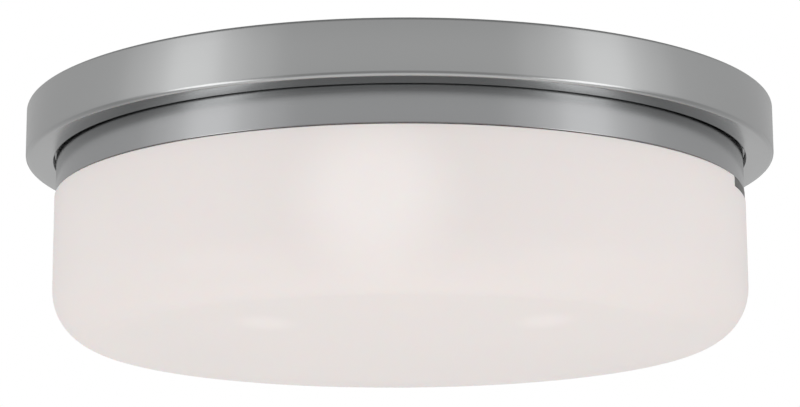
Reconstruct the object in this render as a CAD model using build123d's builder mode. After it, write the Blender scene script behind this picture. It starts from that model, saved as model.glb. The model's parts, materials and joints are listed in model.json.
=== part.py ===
"""Flush ceiling light with an opal glass shade over three lamps.

Sizes are in millimetres. The origin is the centre of the ceiling plane, +Z points up into
the ceiling and the light hangs towards -Z. The side that faces a viewer is -Y.

A spun pan lies against the ceiling and hides the crossbar that carries it. A collar under the
pan holds the glass: three spring clips close under the bead of its neck. One clip ends in a
finger tab that opens it from outside. The lamps lie in a ring, each in a lampholder on a bent
bracket, and each unscrews along its own axis.
"""

from build123d import *
from math import asin, cos, degrees, radians, sin, sqrt
import os

os.makedirs("parts", exist_ok=True)

# ---------------------------------------------------------------- driving dimensions

# Pan: the wide ring against the ceiling, one sheet with the floor that carries everything.
pan_radius = 165.0
pan_depth = 23.1  # ceiling to the underside of the rim
pan_sheet = 1.0
pan_rim_width = 13.3  # flat underside of the rim, from its outer wall in to the collar
pan_hem = 3.5  # lip turned in against the ceiling
pan_roll = 2.0  # outer radius of the rolled lower edge
floor_rise = 4.1  # the floor steps up by this inside the rim
seam_gap = 0.7  # shadow gap between the step and the collar
ridge_outer = 36.0  # stiffening ridge pressed down round the wire hole
ridge_inner = 24.0
ridge_depth = 1.4
ridge_slope = 2.8  # width of each of its slopes

# Collar: the narrower band under the pan.
collar_sheet = 1.0
collar_drop = 15.4  # rim underside to the collar's lower edge
collar_flange = 12.5  # flat flange under the pan floor
collar_curl = 2.2  # lower edge turned in
collar_roll = 1.5  # outer radius of that edge

# Glass shade.
shade_overhang = 0.5  # the drum stands out past the collar
shade_gap = 0.3  # shoulder below the collar
shade_glass = 3.5  # wall thickness
shade_drop = 111.9  # ceiling to the lowest point
shade_wall_end = 80.0  # ceiling to the start of the rounded bottom edge
shade_corner = 23.0  # radius of the rounded bottom edge
shade_shoulder_round = 1.2
neck_inset = 7.8  # collar's outer face to the neck's outer face
neck_top = 27.0  # ceiling to the top of the neck
bead_height = 4.2  # bead round the neck's top
bead_overhang = 3.5  # how far the bead stands out from the neck
bead_bevel = 1.6

# Spring clips that hold the bead.
clip_sheet = 0.6
clip_width = 14.0
clip_gap = 0.3  # between the leaf and the bead
clip_bite = 1.9  # how far the nip reaches in under the bead
clip_nip_drop = 1.6  # bead's underside to the nip
clip_flare = (1.8, 3.4)  # the lead-in below the nip, outwards and down
clip_bend = 1.0
clip_straight = 0.7  # the leaf runs straight down this share of the bead's height
clip_angles = (-12.0, 108.0, 228.0)  # the first one has the finger tab
clip_rivet_inset = 4.0  # from the inner end of the foot
clip_rivet_spread = 4.0  # to each side of the clip's middle
tail_gap = 0.4  # the tail passes under the collar with this gap
tab_sheet = 0.8
tab_half_angle = 9.5
tab_height = 3.6
tab_gap = 0.5  # tab below the collar
tab_reach = 0.2  # tab's face out past the collar's face
tab_clearance = 0.7  # between the tab and the hollow moulded for it in the glass
tab_weld_gap = 0.2  # tail's end to the tab's inner face

# Cushions between the collar's flange and the glass.
cushion_width = 6.0
cushion_gap = 0.3
cushion_half_angle = 32.0

# Rivets.
small_rivet = 1.2  # shank radius
small_rivet_head = 2.0
large_rivet = 1.6
large_rivet_head = 3.0
rivet_head_height = 0.8
rivet_clearance = 0.05
collar_rivet_inset = 5.5  # from the flange's inner edge
collar_rivet_offset = 22.0  # degrees to each side of a clip

# Crossbar against the outlet box.
crossbar_sheet = 2.0
crossbar_width = 22.0
crossbar_length = 130.0
crossbar_flat = 97.0  # length of the raised middle
crossbar_step = 4.4  # the ends lie this far below the middle
crossbar_ramp = 3.0
crossbar_hub = 18.0  # radius of the round middle
crossbar_bore = 5.1
box_screw_spacing = 79.4
box_slot_width = 5.0
box_slot_length = 14.5
canopy_screw_spacing = 114.3
canopy_screw = 2.05  # shank radius
canopy_screw_head = 4.0
canopy_screw_head_height = 2.4
thread_clearance = 0.05
washer_radius = 5.6
washer_sheet = 0.8
keyhole_slot_width = 5.0
keyhole_clearance = 0.6  # washer to the hole that passes over it
keyhole_turn = 14.0  # degrees from the seat to the entry
nut_flats = 8.7
nut_height = 3.2
screw_end = 1.2  # screw standing out below its nut
ground_screw_offset = 24.0
ground_screw_radius = 2.4
ground_screw_head = 4.5
ground_screw_head_height = 2.6

# Bushing for the supply wires.
bushing_bore = 8.0
bushing_wall = 3.0
bushing_flange = 13.5
bushing_flange_height = 1.4
bushing_lip = 12.2
bushing_lip_height = 1.9
bushing_clearance = 0.1

# Heat insulation above the floor.
pad_inner = 68.0
pad_outer = 138.0
pad_height = 11.5
pad_gap = 0.3
pad_pocket = 4.5

# Lamps: three in a ring, each lying along the ring with its tip slightly down.
lamp_count = 3
lamp_first_angle = -100.0
lamp_circle = 65.0  # ring that the globes' centres lie on
lamp_depth = 52.0  # ceiling to the globes' centres
lamp_tilt = 5.0
lamp_globe = 30.15
lamp_length = 108.15
lamp_neck_clearance = 0.3  # glass neck to the inside of the base
lamp_neck_end = 29.0  # from the contact to where the neck starts to swell
lamp_glass = 0.8
lamp_base = 13.0
lamp_base_length = 25.5
lamp_base_sheet = 0.4
lamp_base_cone = 6.6  # from the contact to the straight part of the base
lamp_base_hole = 8.2
lamp_base_floor = 3.8
lamp_insulator = 8.0
lamp_insulator_face = 4.8
lamp_insulator_end = 5.2
lamp_contact = 3.8
lamp_contact_tip = 2.2
lamp_contact_height = 0.8
lamp_seal = 18.0  # from the contact to the glass neck's end inside the base

# Lampholders.
holder_clearance = 0.3  # lamp base to screw shell
shell_sheet = 0.4
shell_flange = 3.0
shell_top = 20.0
holder_bore_clearance = 0.2
holder_radius = 18.5
holder_mouth = 23.0
holder_floor = -2.0
holder_block_back = -12.0
holder_block_front = 3.0
holder_block_width = 42.0
holder_block_height = 27.0
holder_block_corner = 4.0
holder_edge = 1.2
terminal_pocket = 9.0
terminal_depth = 3.2
terminal_head = 2.8
terminal_head_height = 1.6
terminal_shank = 1.5
terminal_length = 4.0
tongue_sheet = 0.4
tongue_width = 5.0
tongue_foot = 8.8
tongue_knee = 4.0
tongue_end = 3.0
tongue_gap = 0.1
holder_screw_spread = 9.0
holder_screw = 1.6
holder_screw_head = 3.0
holder_screw_head_height = 1.8
holder_screw_length = 7.0
screw_hole_clearance = 0.15
bracket_sheet = 1.2
bracket_width = 30.0
bracket_drop = 11.0  # plate below the lamp's axis
bracket_foot = 17.0
bracket_bend = 1.6
bracket_corner = 4.0
bracket_rivet_back = 9.5  # rivets behind the plate
bracket_rivet_spread = 9.0

# ---------------------------------------------------------------- heights and radii that follow

rim_under = -pan_depth
floor_under = rim_under + floor_rise
floor_top = floor_under + pan_sheet
collar_radius = pan_radius - pan_rim_width
collar_bottom = rim_under - collar_drop
flange_under = floor_under - collar_sheet
flange_inner = collar_radius - collar_flange
shade_radius = collar_radius + shade_overhang
shoulder = collar_bottom - shade_gap
neck_radius = collar_radius - neck_inset
bead_radius = neck_radius + bead_overhang
bead_under = -neck_top - bead_height
keyhole_entry = washer_radius + keyhole_clearance
tab_radius = collar_radius + tab_reach
lamp_neck = lamp_base - lamp_base_sheet - lamp_neck_clearance
lamp_angles = [lamp_first_angle + n * 360 / lamp_count for n in range(lamp_count)]


# ---------------------------------------------------------------- helpers


def save(piece, name):
    """Label a finished piece and write its STEP file."""
    piece.part.label = name
    export_step(piece.part, f"parts/{name}.step")


def radial_plane(angle):
    """Upright plane through the centre line: X runs outwards at the angle, Y runs up."""
    out = Vector(cos(radians(angle)), sin(radians(angle)), 0)
    return Plane(origin=(0, 0, 0), x_dir=out, z_dir=out.cross(Vector(0, 0, 1)))


def polar(radius, angle):
    """Point in the ceiling plane at a radius and an angle."""
    return (radius * cos(radians(angle)), radius * sin(radians(angle)))


class LampPlace:
    """Where one lamp lies: its contact point, its axis towards the tip and planes on them."""

    def __init__(self, angle):
        self.side = Vector(cos(radians(angle)), sin(radians(angle)), 0)
        level = Vector(sin(radians(angle)), -cos(radians(angle)), 0)
        self.back = level * -1
        self.axis = level * cos(radians(lamp_tilt)) + Vector(0, 0, -sin(radians(lamp_tilt)))
        globe = self.side * lamp_circle + Vector(0, 0, -lamp_depth)
        self.contact = globe - self.axis * (lamp_length - lamp_globe)

    def section(self):
        """Plane through the axis: X is the distance from it, Y runs along it."""
        return Plane(origin=self.contact, x_dir=self.side, z_dir=self.side.cross(self.axis))

    def centre_line(self):
        return Axis(self.contact, self.axis)

    def across(self, along):
        """Plane square to the axis: X is level, Y points up."""
        origin = self.contact + self.axis * along
        return Plane(origin=origin, x_dir=self.side, z_dir=self.axis)

    def upright(self):
        """Upright plane along the lamp: X runs back from the contact, Y is the true height."""
        origin = (self.contact.X, self.contact.Y, 0)
        return Plane(origin=origin, x_dir=self.back, z_dir=self.side)

    def bracket_plate_top(self):
        """Where the bracket's plate meets its foot, in the upright plane."""
        lean = radians(lamp_tilt)
        behind = -holder_block_back + bracket_sheet / 2
        foot_middle = floor_under - bracket_sheet / 2
        rise = (foot_middle - self.contact.Z - behind * sin(lean)) / cos(lean)
        return (behind * cos(lean) - rise * sin(lean), foot_middle)

    def bracket_rivets(self):
        """Centres of the two rivets in the bracket's foot, seen from above."""
        start = Vector(self.contact.X, self.contact.Y, 0)
        start += self.back * (self.bracket_plate_top()[0] + bracket_rivet_back)
        sides = (-bracket_rivet_spread, bracket_rivet_spread)
        return [tuple(start + self.side * side)[:2] for side in sides]


lamp_places = [LampPlace(angle) for angle in lamp_angles]

# ---------------------------------------------------------------- rivet positions

clip_rivet_radius = flange_inner + clip_rivet_inset
clip_rivet_points = [
    tuple(radial_plane(angle).from_local_coords((clip_rivet_radius, 0, side)))[:2]
    for angle in clip_angles
    for side in (-clip_rivet_spread, clip_rivet_spread)
]
collar_rivet_points = [
    polar(flange_inner + collar_rivet_inset, angle + side)
    for angle in clip_angles
    for side in (-collar_rivet_offset, collar_rivet_offset)
]
bracket_rivet_points = [point for place in lamp_places for point in place.bracket_rivets()]
canopy_screw_points = [(-canopy_screw_spacing / 2, 0), (canopy_screw_spacing / 2, 0)]


def rivets(points, shank, head, under, layers):
    """Rivets that close up a stack of sheets, from the stack's underside upwards."""
    with BuildPart() as group:
        with BuildSketch(Plane.XY.offset(under - rivet_head_height)):
            with Locations(*points):
                Circle(head)
        extrude(amount=rivet_head_height)
        with BuildSketch(Plane.XY.offset(under)):
            with Locations(*points):
                Circle(shank)
        extrude(amount=layers)
        with BuildSketch(Plane.XY.offset(under + layers)):
            with Locations(*points):
                Circle(head)
        extrude(amount=rivet_head_height)
    return group


def discs(points, radius, height):
    """Round faces at a height, to be extruded upwards as holes."""
    with BuildSketch(Plane.XY.offset(height)) as faces:
        with Locations(*points):
            Circle(radius)
    return faces.sketch


# ---------------------------------------------------------------- pan

# The sheet's outer face runs down the wall, round the rolled edge and in under the rim, then up
# the step and over the ridge to the wire hole.
bushing_hole = bushing_bore + bushing_wall + bushing_clearance
step_radius = collar_radius + seam_gap
pan_line = [
    (pan_radius - pan_hem, 0),
    (pan_radius, 0),
    (pan_radius, rim_under),
    (step_radius, rim_under),
    (step_radius, floor_under),
    (ridge_outer, floor_under),
    (ridge_outer - ridge_slope, floor_under - ridge_depth),
    (ridge_inner + ridge_slope, floor_under - ridge_depth),
    (ridge_inner, floor_under),
    (bushing_hole, floor_under),
]

with BuildPart() as canopy_pan:
    with BuildSketch(Plane.XZ):
        with BuildLine():
            FilletPolyline(*pan_line, radius=[0, pan_roll] + [0] * (len(pan_line) - 4))
            offset(amount=pan_sheet, kind=Kind.INTERSECTION, side=Side.RIGHT)
        make_face()
    revolve(axis=Axis.Z)
    # Keyholes: the entry passes over a nut, then the pan turns until the screw seats.
    with BuildSketch(Plane.XY.offset(floor_under - pan_sheet)):
        for start in (0, 180):
            with BuildLine(mode=Mode.PRIVATE) as turn:
                CenterArc((0, 0), canopy_screw_spacing / 2, start, keyhole_turn)
            SlotArc(turn.wire(), keyhole_slot_width)
            with Locations(polar(canopy_screw_spacing / 2, start + keyhole_turn)):
                Circle(keyhole_entry)
    extrude(amount=pan_sheet * 3, mode=Mode.SUBTRACT)
    for points, shank in (
        (clip_rivet_points, small_rivet),
        (collar_rivet_points, large_rivet),
        (bracket_rivet_points, large_rivet),
    ):
        holes = discs(points, shank + rivet_clearance, floor_under - pan_sheet)
        extrude(holes, amount=pan_sheet * 3, mode=Mode.SUBTRACT)
save(canopy_pan, "canopy_pan")

# ---------------------------------------------------------------- collar

collar_line = [
    (flange_inner, floor_under),
    (collar_radius, floor_under),
    (collar_radius, collar_bottom),
    (collar_radius - collar_curl, collar_bottom),
]
with BuildPart() as glass_collar:
    with BuildSketch(Plane.XZ):
        with BuildLine():
            FilletPolyline(*collar_line, radius=[0, collar_roll])
            offset(amount=collar_sheet, kind=Kind.INTERSECTION, side=Side.RIGHT)
        make_face()
    revolve(axis=Axis.Z)
    for points, shank in ((clip_rivet_points, small_rivet), (collar_rivet_points, large_rivet)):
        holes = discs(points, shank + rivet_clearance, flange_under - collar_sheet)
        extrude(holes, amount=collar_sheet * 3, mode=Mode.SUBTRACT)
save(glass_collar, "glass_collar")

collar_rivets = rivets(
    collar_rivet_points, large_rivet, large_rivet_head, flange_under, pan_sheet + collar_sheet
)
save(collar_rivets, "collar_rivets")

# ---------------------------------------------------------------- spring clips and finger tab

clip_half = clip_sheet / 2
foot_middle = flange_under - clip_half
leaf_middle = bead_radius + clip_gap + clip_half
nip_middle = bead_radius - clip_bite + clip_half
nip_height = bead_under - clip_nip_drop
tail_middle = collar_bottom - tail_gap - clip_half
tab_inner = tab_radius - tab_sheet
clip_shape = [
    (flange_inner, foot_middle),
    (leaf_middle, foot_middle),
    (leaf_middle, -neck_top - bead_height * clip_straight),
    (nip_middle, nip_height),
]
plain_end = [(nip_middle + clip_flare[0], nip_height - clip_flare[1])]
tail_end = [(nip_middle + clip_flare[0], tail_middle), (tab_inner - tab_weld_gap, tail_middle)]

for number, angle in enumerate(clip_angles, start=1):
    ending = tail_end if number == 1 else plain_end
    with BuildPart() as clip:
        with BuildSketch(radial_plane(angle)):
            with BuildLine():
                FilletPolyline(*clip_shape, *ending, radius=clip_bend)
            trace(line_width=clip_sheet)
        extrude(amount=clip_width / 2, both=True)
        own_rivets = clip_rivet_points[2 * number - 2 : 2 * number]
        holes = discs(own_rivets, small_rivet + rivet_clearance, foot_middle - clip_sheet)
        extrude(holes, amount=clip_sheet * 2, mode=Mode.SUBTRACT)
    save(clip, f"shade_clip_{number}")

clip_stack = pan_sheet + collar_sheet + clip_sheet
clip_rivets = rivets(
    clip_rivet_points, small_rivet, small_rivet_head, foot_middle - clip_half, clip_stack
)
save(clip_rivets, "clip_rivets")

# The tab is a curved strip with a lug turned in under the first clip's tail.
tab_top = collar_bottom - tab_gap
tab_bottom = tab_top - tab_height
lug_top = tail_middle - clip_half
lug_inner = nip_middle + clip_flare[0] + clip_sheet
with BuildPart() as release_tab:
    with BuildSketch(radial_plane(clip_angles[0] - tab_half_angle)):
        with Locations(((tab_inner + tab_radius) / 2, (tab_top + tab_bottom) / 2)):
            Rectangle(tab_sheet, tab_height)
    revolve(axis=Axis.Z, revolution_arc=2 * tab_half_angle)
    with BuildSketch(radial_plane(clip_angles[0])):
        with Locations(((lug_inner + tab_radius - tab_sheet / 2) / 2, lug_top - tab_sheet / 2)):
            Rectangle(tab_radius - tab_sheet / 2 - lug_inner, tab_sheet)
    extrude(amount=clip_width / 2, both=True)
save(release_tab, "release_tab")

# ---------------------------------------------------------------- cushions

cushion_outer = bead_radius - clip_gap
cushion_bottom = -neck_top + cushion_gap
with BuildPart() as rim_cushions:
    for angle in clip_angles:
        with BuildSketch(radial_plane(angle + 60 - cushion_half_angle)):
            with Locations(
                (cushion_outer - cushion_width / 2, (flange_under + cushion_bottom) / 2)
            ):
                Rectangle(cushion_width, flange_under - cushion_bottom)
        revolve(axis=Axis.Z, revolution_arc=2 * cushion_half_angle)
save(rim_cushions, "rim_cushions")

# ---------------------------------------------------------------- glass shade

# The rounded bottom edge and the shallow dome meet without a crease: the edge's circle touches
# the dome's circle from inside, which fixes the dome's radius.
corner_centre = (shade_radius - shade_corner, -shade_wall_end)
dome_fall = shade_drop - shade_wall_end
dome_radius = (corner_centre[0] ** 2 + dome_fall**2 - shade_corner**2) / (
    2 * (dome_fall - shade_corner)
)
dome_centre = (0, dome_radius - shade_drop)
meeting_angle = degrees(asin(corner_centre[0] / (dome_radius - shade_corner)))
corner_sweep = 90 - meeting_angle
neck_inner = neck_radius - shade_glass
wall_inner = shade_radius - shade_glass
ledge_under = shoulder - shade_glass

with BuildPart() as glass_shade:
    with BuildSketch(Plane.XZ):
        with BuildLine():
            Polyline(
                (neck_inner, -neck_top),
                (bead_radius - bead_bevel, -neck_top),
                (bead_radius, -neck_top - bead_bevel),
                (bead_radius, bead_under + bead_bevel),
                (bead_radius - bead_bevel, bead_under),
                (neck_radius, bead_under),
                (neck_radius, shoulder),
                (shade_radius, shoulder),
                (shade_radius, -shade_wall_end),
            )
            CenterArc(corner_centre, shade_corner, 0, -corner_sweep)
            CenterArc(dome_centre, dome_radius, meeting_angle - 90, -meeting_angle)
            Line((0, -shade_drop), (0, shade_glass - shade_drop))
            CenterArc(dome_centre, dome_radius - shade_glass, -90, meeting_angle)
            CenterArc(corner_centre, shade_corner - shade_glass, -corner_sweep, corner_sweep)
            Polyline(
                (wall_inner, -shade_wall_end),
                (wall_inner, ledge_under),
                (neck_inner, ledge_under),
                (neck_inner, -neck_top),
            )
        make_face()
    revolve(axis=Axis.Z)
    shoulder_edge = glass_shade.edges().filter_by(GeomType.CIRCLE)
    shoulder_edge = shoulder_edge.filter_by(
        lambda edge: abs(edge.radius - shade_radius) < 0.01 and edge.center().Z > shoulder - 0.1
    )
    fillet(shoulder_edge, radius=shade_shoulder_round)
    # A hollow moulded in the shoulder takes the clip's tail and the finger tab.
    hollow_floor = lug_top - tab_sheet - shade_gap
    hollow_half_angle = tab_half_angle + degrees(tab_clearance / tab_radius)
    with BuildSketch(radial_plane(clip_angles[0])):
        with Locations(((neck_radius + shade_radius) / 2 + 1, (shoulder + hollow_floor) / 2 + 1)):
            Rectangle(shade_radius - neck_radius, shoulder - hollow_floor + 2)
    extrude(amount=clip_width / 2 + tab_clearance, both=True, mode=Mode.SUBTRACT)
    hollow_inner = tab_inner - tab_clearance
    hollow_bottom = tab_bottom - tab_clearance
    with BuildSketch(radial_plane(clip_angles[0] - hollow_half_angle)):
        with Locations((hollow_inner + shade_glass / 2, (shoulder + hollow_bottom) / 2 + 1)):
            Rectangle(shade_glass, shoulder - hollow_bottom + 2)
    revolve(axis=Axis.Z, revolution_arc=2 * hollow_half_angle, mode=Mode.SUBTRACT)
save(glass_shade, "glass_shade")

# ---------------------------------------------------------------- crossbar and its fasteners

crossbar_half = crossbar_sheet / 2
crossbar_end = crossbar_length / 2
crossbar_knee = crossbar_flat / 2
bar_middle = -crossbar_half
end_middle = -crossbar_step - crossbar_half
crossbar_line = [
    (-crossbar_end, end_middle),
    (-crossbar_knee - crossbar_ramp, end_middle),
    (-crossbar_knee, bar_middle),
    (crossbar_knee, bar_middle),
    (crossbar_knee + crossbar_ramp, end_middle),
    (crossbar_end, end_middle),
]
with BuildPart() as crossbar:
    with BuildSketch(Plane.XZ):
        with BuildLine():
            FilletPolyline(*crossbar_line, radius=crossbar_sheet)
        trace(line_width=crossbar_sheet)
    extrude(amount=crossbar_width / 2, both=True)
    fillet(crossbar.edges().filter_by(Axis.Z), radius=crossbar_width / 4)
    with BuildSketch(Plane.XY.offset(-crossbar_sheet)):
        Circle(crossbar_hub)
    extrude(amount=crossbar_sheet)
    with BuildSketch(Plane.XY.offset(-crossbar_sheet)):
        Circle(crossbar_bore)
        with Locations((-box_screw_spacing / 2, 0), (box_screw_spacing / 2, 0)):
            SlotOverall(box_slot_length, box_slot_width)
        with Locations((ground_screw_offset, 0)):
            Circle(ground_screw_radius + thread_clearance)
    extrude(amount=crossbar_sheet, mode=Mode.SUBTRACT)
    tapped = discs(canopy_screw_points, canopy_screw + thread_clearance, end_middle - crossbar_sheet)
    extrude(tapped, amount=crossbar_sheet * 2, mode=Mode.SUBTRACT)
save(crossbar, "crossbar")

nut_top = floor_under - washer_sheet
screw_bottom = nut_top - nut_height - screw_end
with BuildPart() as canopy_screws:
    with BuildSketch(Plane.XY.offset(-crossbar_step)):
        with Locations(*canopy_screw_points):
            Circle(canopy_screw_head)
    extrude(amount=canopy_screw_head_height)
    with BuildSketch(Plane.XY.offset(screw_bottom)):
        with Locations(*canopy_screw_points):
            Circle(canopy_screw)
    extrude(amount=-crossbar_step - screw_bottom)
save(canopy_screws, "canopy_screws")

with BuildPart() as canopy_washers:
    with BuildSketch(Plane.XY.offset(nut_top)):
        with Locations(*canopy_screw_points):
            Circle(washer_radius)
            Circle(canopy_screw + 2 * thread_clearance, mode=Mode.SUBTRACT)
    extrude(amount=washer_sheet)
save(canopy_washers, "canopy_washers")

with BuildPart() as canopy_nuts:
    with BuildSketch(Plane.XY.offset(nut_top - nut_height)):
        with Locations(*canopy_screw_points):
            RegularPolygon(nut_flats / 2, 6, major_radius=False)
            Circle(canopy_screw + thread_clearance, mode=Mode.SUBTRACT)
    extrude(amount=nut_height)
save(canopy_nuts, "canopy_nuts")

with BuildPart() as ground_screw:
    with BuildSketch(Plane.XY.offset(-crossbar_sheet)):
        with Locations((ground_screw_offset, 0)):
            Circle(ground_screw_radius)
    extrude(amount=crossbar_sheet)
    with BuildSketch(Plane.XY.offset(-crossbar_sheet - ground_screw_head_height)):
        with Locations((ground_screw_offset, 0)):
            RegularPolygon(ground_screw_head, 6)
    extrude(amount=ground_screw_head_height)
save(ground_screw, "ground_screw")

# ---------------------------------------------------------------- bushing and insulation

bushing_outer = bushing_bore + bushing_wall
with BuildPart() as wire_bushing:
    with BuildSketch(Plane.XZ):
        with BuildLine():
            Polyline(
                (bushing_bore, floor_under - bushing_flange_height),
                (bushing_flange, floor_under - bushing_flange_height),
                (bushing_flange, floor_under),
                (bushing_outer, floor_under),
                (bushing_outer, floor_top),
                (bushing_lip, floor_top),
                (bushing_outer, floor_top + bushing_lip_height),
                (bushing_bore, floor_top + bushing_lip_height),
                close=True,
            )
        make_face()
    revolve(axis=Axis.Z)
save(wire_bushing, "wire_bushing")

with BuildPart() as insulation_pad:
    with BuildSketch(Plane.XY.offset(floor_top + pad_gap)):
        Circle(pad_outer)
        Circle(pad_inner, mode=Mode.SUBTRACT)
    extrude(amount=pad_height)
    pockets = discs(bracket_rivet_points, pad_pocket, floor_top)
    extrude(pockets, amount=rivet_head_height + 2 * pad_gap, mode=Mode.SUBTRACT)
save(insulation_pad, "insulation_pad")

# ---------------------------------------------------------------- lamps and lampholders


def globe_line(inset):
    """Half outline of the glass, set in by a wall thickness: neck, swelling curve and globe."""
    globe = lamp_globe - inset
    neck = lamp_neck - inset
    globe_centre = lamp_length - lamp_globe
    rise = globe_centre - lamp_neck_end
    # The swelling curve touches the neck's side and the globe: this fixes its radius.
    waist = (neck**2 + rise**2 - globe**2) / (2 * (globe - neck))
    waist_centre = (neck + waist, lamp_neck_end)
    reach = sqrt(waist_centre[0] ** 2 + rise**2)
    turn = degrees(asin(rise / reach))
    Line((neck, lamp_seal), (neck, lamp_neck_end))
    CenterArc(waist_centre, waist, 180, -turn)
    CenterArc((0, globe_centre), globe, -turn, 90 + turn)


shell_inner = lamp_base + holder_clearance
shell_outer = shell_inner + shell_sheet
holder_bore = shell_outer + holder_bore_clearance

for number, place in enumerate(lamp_places, start=1):
    with BuildPart() as bulb_glass:
        with BuildSketch(place.section()):
            with BuildLine():
                globe_line(0)
                globe_line(lamp_glass)
                Line((lamp_neck - lamp_glass, lamp_seal), (lamp_neck, lamp_seal))
                Line((0, lamp_length - lamp_glass), (0, lamp_length))
            make_face()
        revolve(axis=place.centre_line())
    save(bulb_glass, f"bulb_{number}_glass")

    with BuildPart() as bulb_base:
        with BuildSketch(place.section()):
            with BuildLine():
                Polyline(
                    (lamp_base_hole, lamp_base_floor),
                    (lamp_base, lamp_base_cone),
                    (lamp_base, lamp_base_length),
                )
                offset(amount=lamp_base_sheet, kind=Kind.INTERSECTION, side=Side.LEFT)
            make_face()
        revolve(axis=place.centre_line())
    save(bulb_base, f"bulb_{number}_base")

    with BuildPart() as bulb_insulator:
        with BuildSketch(place.section()):
            with BuildLine():
                Polyline(
                    (0, lamp_contact_height),
                    (lamp_insulator_face, lamp_contact_height),
                    (lamp_insulator, lamp_base_floor - lamp_base_sheet),
                    (lamp_insulator, lamp_insulator_end),
                    (0, lamp_insulator_end),
                    close=True,
                )
            make_face()
        revolve(axis=place.centre_line())
    save(bulb_insulator, f"bulb_{number}_insulator")

    with BuildPart() as bulb_contact:
        with BuildSketch(place.section()):
            with BuildLine():
                Polyline(
                    (0, 0),
                    (lamp_contact_tip, 0),
                    (lamp_contact, lamp_contact_height),
                    (0, lamp_contact_height),
                    close=True,
                )
            make_face()
        revolve(axis=place.centre_line())
    save(bulb_contact, f"bulb_{number}_contact")

    with BuildPart() as lampholder_body:
        with BuildSketch(place.across(holder_block_back)):
            RectangleRounded(holder_block_width, holder_block_height, holder_block_corner)
        extrude(amount=holder_block_front - holder_block_back)
        with BuildSketch(place.across(holder_block_front)):
            Circle(holder_radius)
        extrude(amount=holder_mouth - holder_block_front)
        rim_edges = lampholder_body.faces().sort_by(place.centre_line())[-1].edges()
        chamfer(rim_edges, length=holder_edge)
        with BuildSketch(place.across(holder_floor)):
            Circle(holder_bore)
        extrude(amount=holder_mouth - holder_floor, mode=Mode.SUBTRACT)
        # Pockets for the wire terminals, at both ends of the block.
        with BuildSketch(place.across(holder_block_back)):
            for side in (-1, 1):
                with Locations((side * (holder_block_width - terminal_depth) / 2, 0)):
                    Rectangle(terminal_depth, terminal_pocket)
        extrude(amount=terminal_pocket, mode=Mode.SUBTRACT)
        with BuildSketch(place.across(holder_block_back)):
            with Locations((-holder_screw_spread, 0), (holder_screw_spread, 0)):
                Circle(holder_screw + screw_hole_clearance)
        extrude(amount=holder_screw_length + 1, mode=Mode.SUBTRACT)
        terminal_along = holder_block_back + terminal_pocket / 2
        terminal_face = holder_block_width / 2 - terminal_depth
        with BuildSketch(place.section()):
            for side in (-1, 1):
                with Locations((side * (terminal_face - terminal_length / 2), terminal_along)):
                    Rectangle(terminal_length + 1, 2 * (terminal_shank + screw_hole_clearance))
        extrude(
            amount=terminal_shank + screw_hole_clearance, both=True, mode=Mode.SUBTRACT
        )
    save(lampholder_body, f"lampholder_{number}_body")

    with BuildPart() as lampholder_shell:
        with BuildSketch(place.section()):
            with BuildLine():
                Polyline(
                    (shell_inner - shell_flange, holder_floor),
                    (shell_outer, holder_floor),
                    (shell_outer, shell_top),
                )
                offset(amount=shell_sheet, kind=Kind.INTERSECTION, side=Side.LEFT)
            make_face()
        revolve(axis=place.centre_line())
    save(lampholder_shell, f"lampholder_{number}_shell")

    with BuildPart() as lampholder_tongue:
        foot_line = holder_floor + tongue_sheet / 2
        tip_line = -tongue_gap - tongue_sheet / 2
        with BuildSketch(place.section()):
            with BuildLine():
                FilletPolyline(
                    (tongue_foot, foot_line),
                    (tongue_knee, foot_line),
                    (tongue_end / 2, tip_line),
                    (-tongue_end, tip_line),
                    radius=tongue_sheet,
                )
            trace(line_width=tongue_sheet)
        extrude(amount=tongue_width / 2, both=True)
    save(lampholder_tongue, f"lampholder_{number}_tongue")

    with BuildPart() as lampholder_terminals:
        for side in (-1, 1):
            face = Plane(
                origin=place.section().from_local_coords((side * terminal_face, terminal_along, 0)),
                z_dir=place.side * side,
            )
            with BuildSketch(face):
                Circle(terminal_head)
            extrude(amount=terminal_head_height)
            with BuildSketch(face):
                Circle(terminal_shank)
            extrude(amount=-terminal_length)
    save(lampholder_terminals, f"lampholder_{number}_terminals")

    with BuildPart() as lampholder_bracket:
        plate_top = place.bracket_plate_top()
        lean = radians(lamp_tilt)
        behind = -holder_block_back + bracket_sheet / 2
        plate_bottom = (
            behind * cos(lean) + bracket_drop * sin(lean),
            place.contact.Z + behind * sin(lean) - bracket_drop * cos(lean),
        )
        foot_back = (plate_top[0] + bracket_foot, plate_top[1])
        with BuildSketch(place.upright()):
            with BuildLine():
                FilletPolyline(plate_bottom, plate_top, foot_back, radius=bracket_bend)
            trace(line_width=bracket_sheet)
        extrude(amount=bracket_width / 2, both=True)
        foot_corners = lampholder_bracket.edges().filter_by(Axis.Z)
        fillet(foot_corners, radius=bracket_corner)
        with BuildSketch(place.across(holder_block_back - 2 * bracket_sheet)):
            with Locations((-holder_screw_spread, 0), (holder_screw_spread, 0)):
                Circle(holder_screw + screw_hole_clearance)
        extrude(amount=3 * bracket_sheet, mode=Mode.SUBTRACT)
        rivet_holes = discs(
            place.bracket_rivets(), large_rivet + rivet_clearance, floor_under - 2 * bracket_sheet
        )
        extrude(rivet_holes, amount=2 * bracket_sheet, mode=Mode.SUBTRACT)
    save(lampholder_bracket, f"lampholder_{number}_bracket")

    with BuildPart() as lampholder_screws:
        plate_back = holder_block_back - bracket_sheet
        with BuildSketch(place.across(plate_back - holder_screw_head_height)):
            with Locations((-holder_screw_spread, 0), (holder_screw_spread, 0)):
                Circle(holder_screw_head)
        extrude(amount=holder_screw_head_height)
        with BuildSketch(place.across(plate_back)):
            with Locations((-holder_screw_spread, 0), (holder_screw_spread, 0)):
                Circle(holder_screw)
        extrude(amount=bracket_sheet + holder_screw_length)
    save(lampholder_screws, f"lampholder_{number}_screws")

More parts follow.
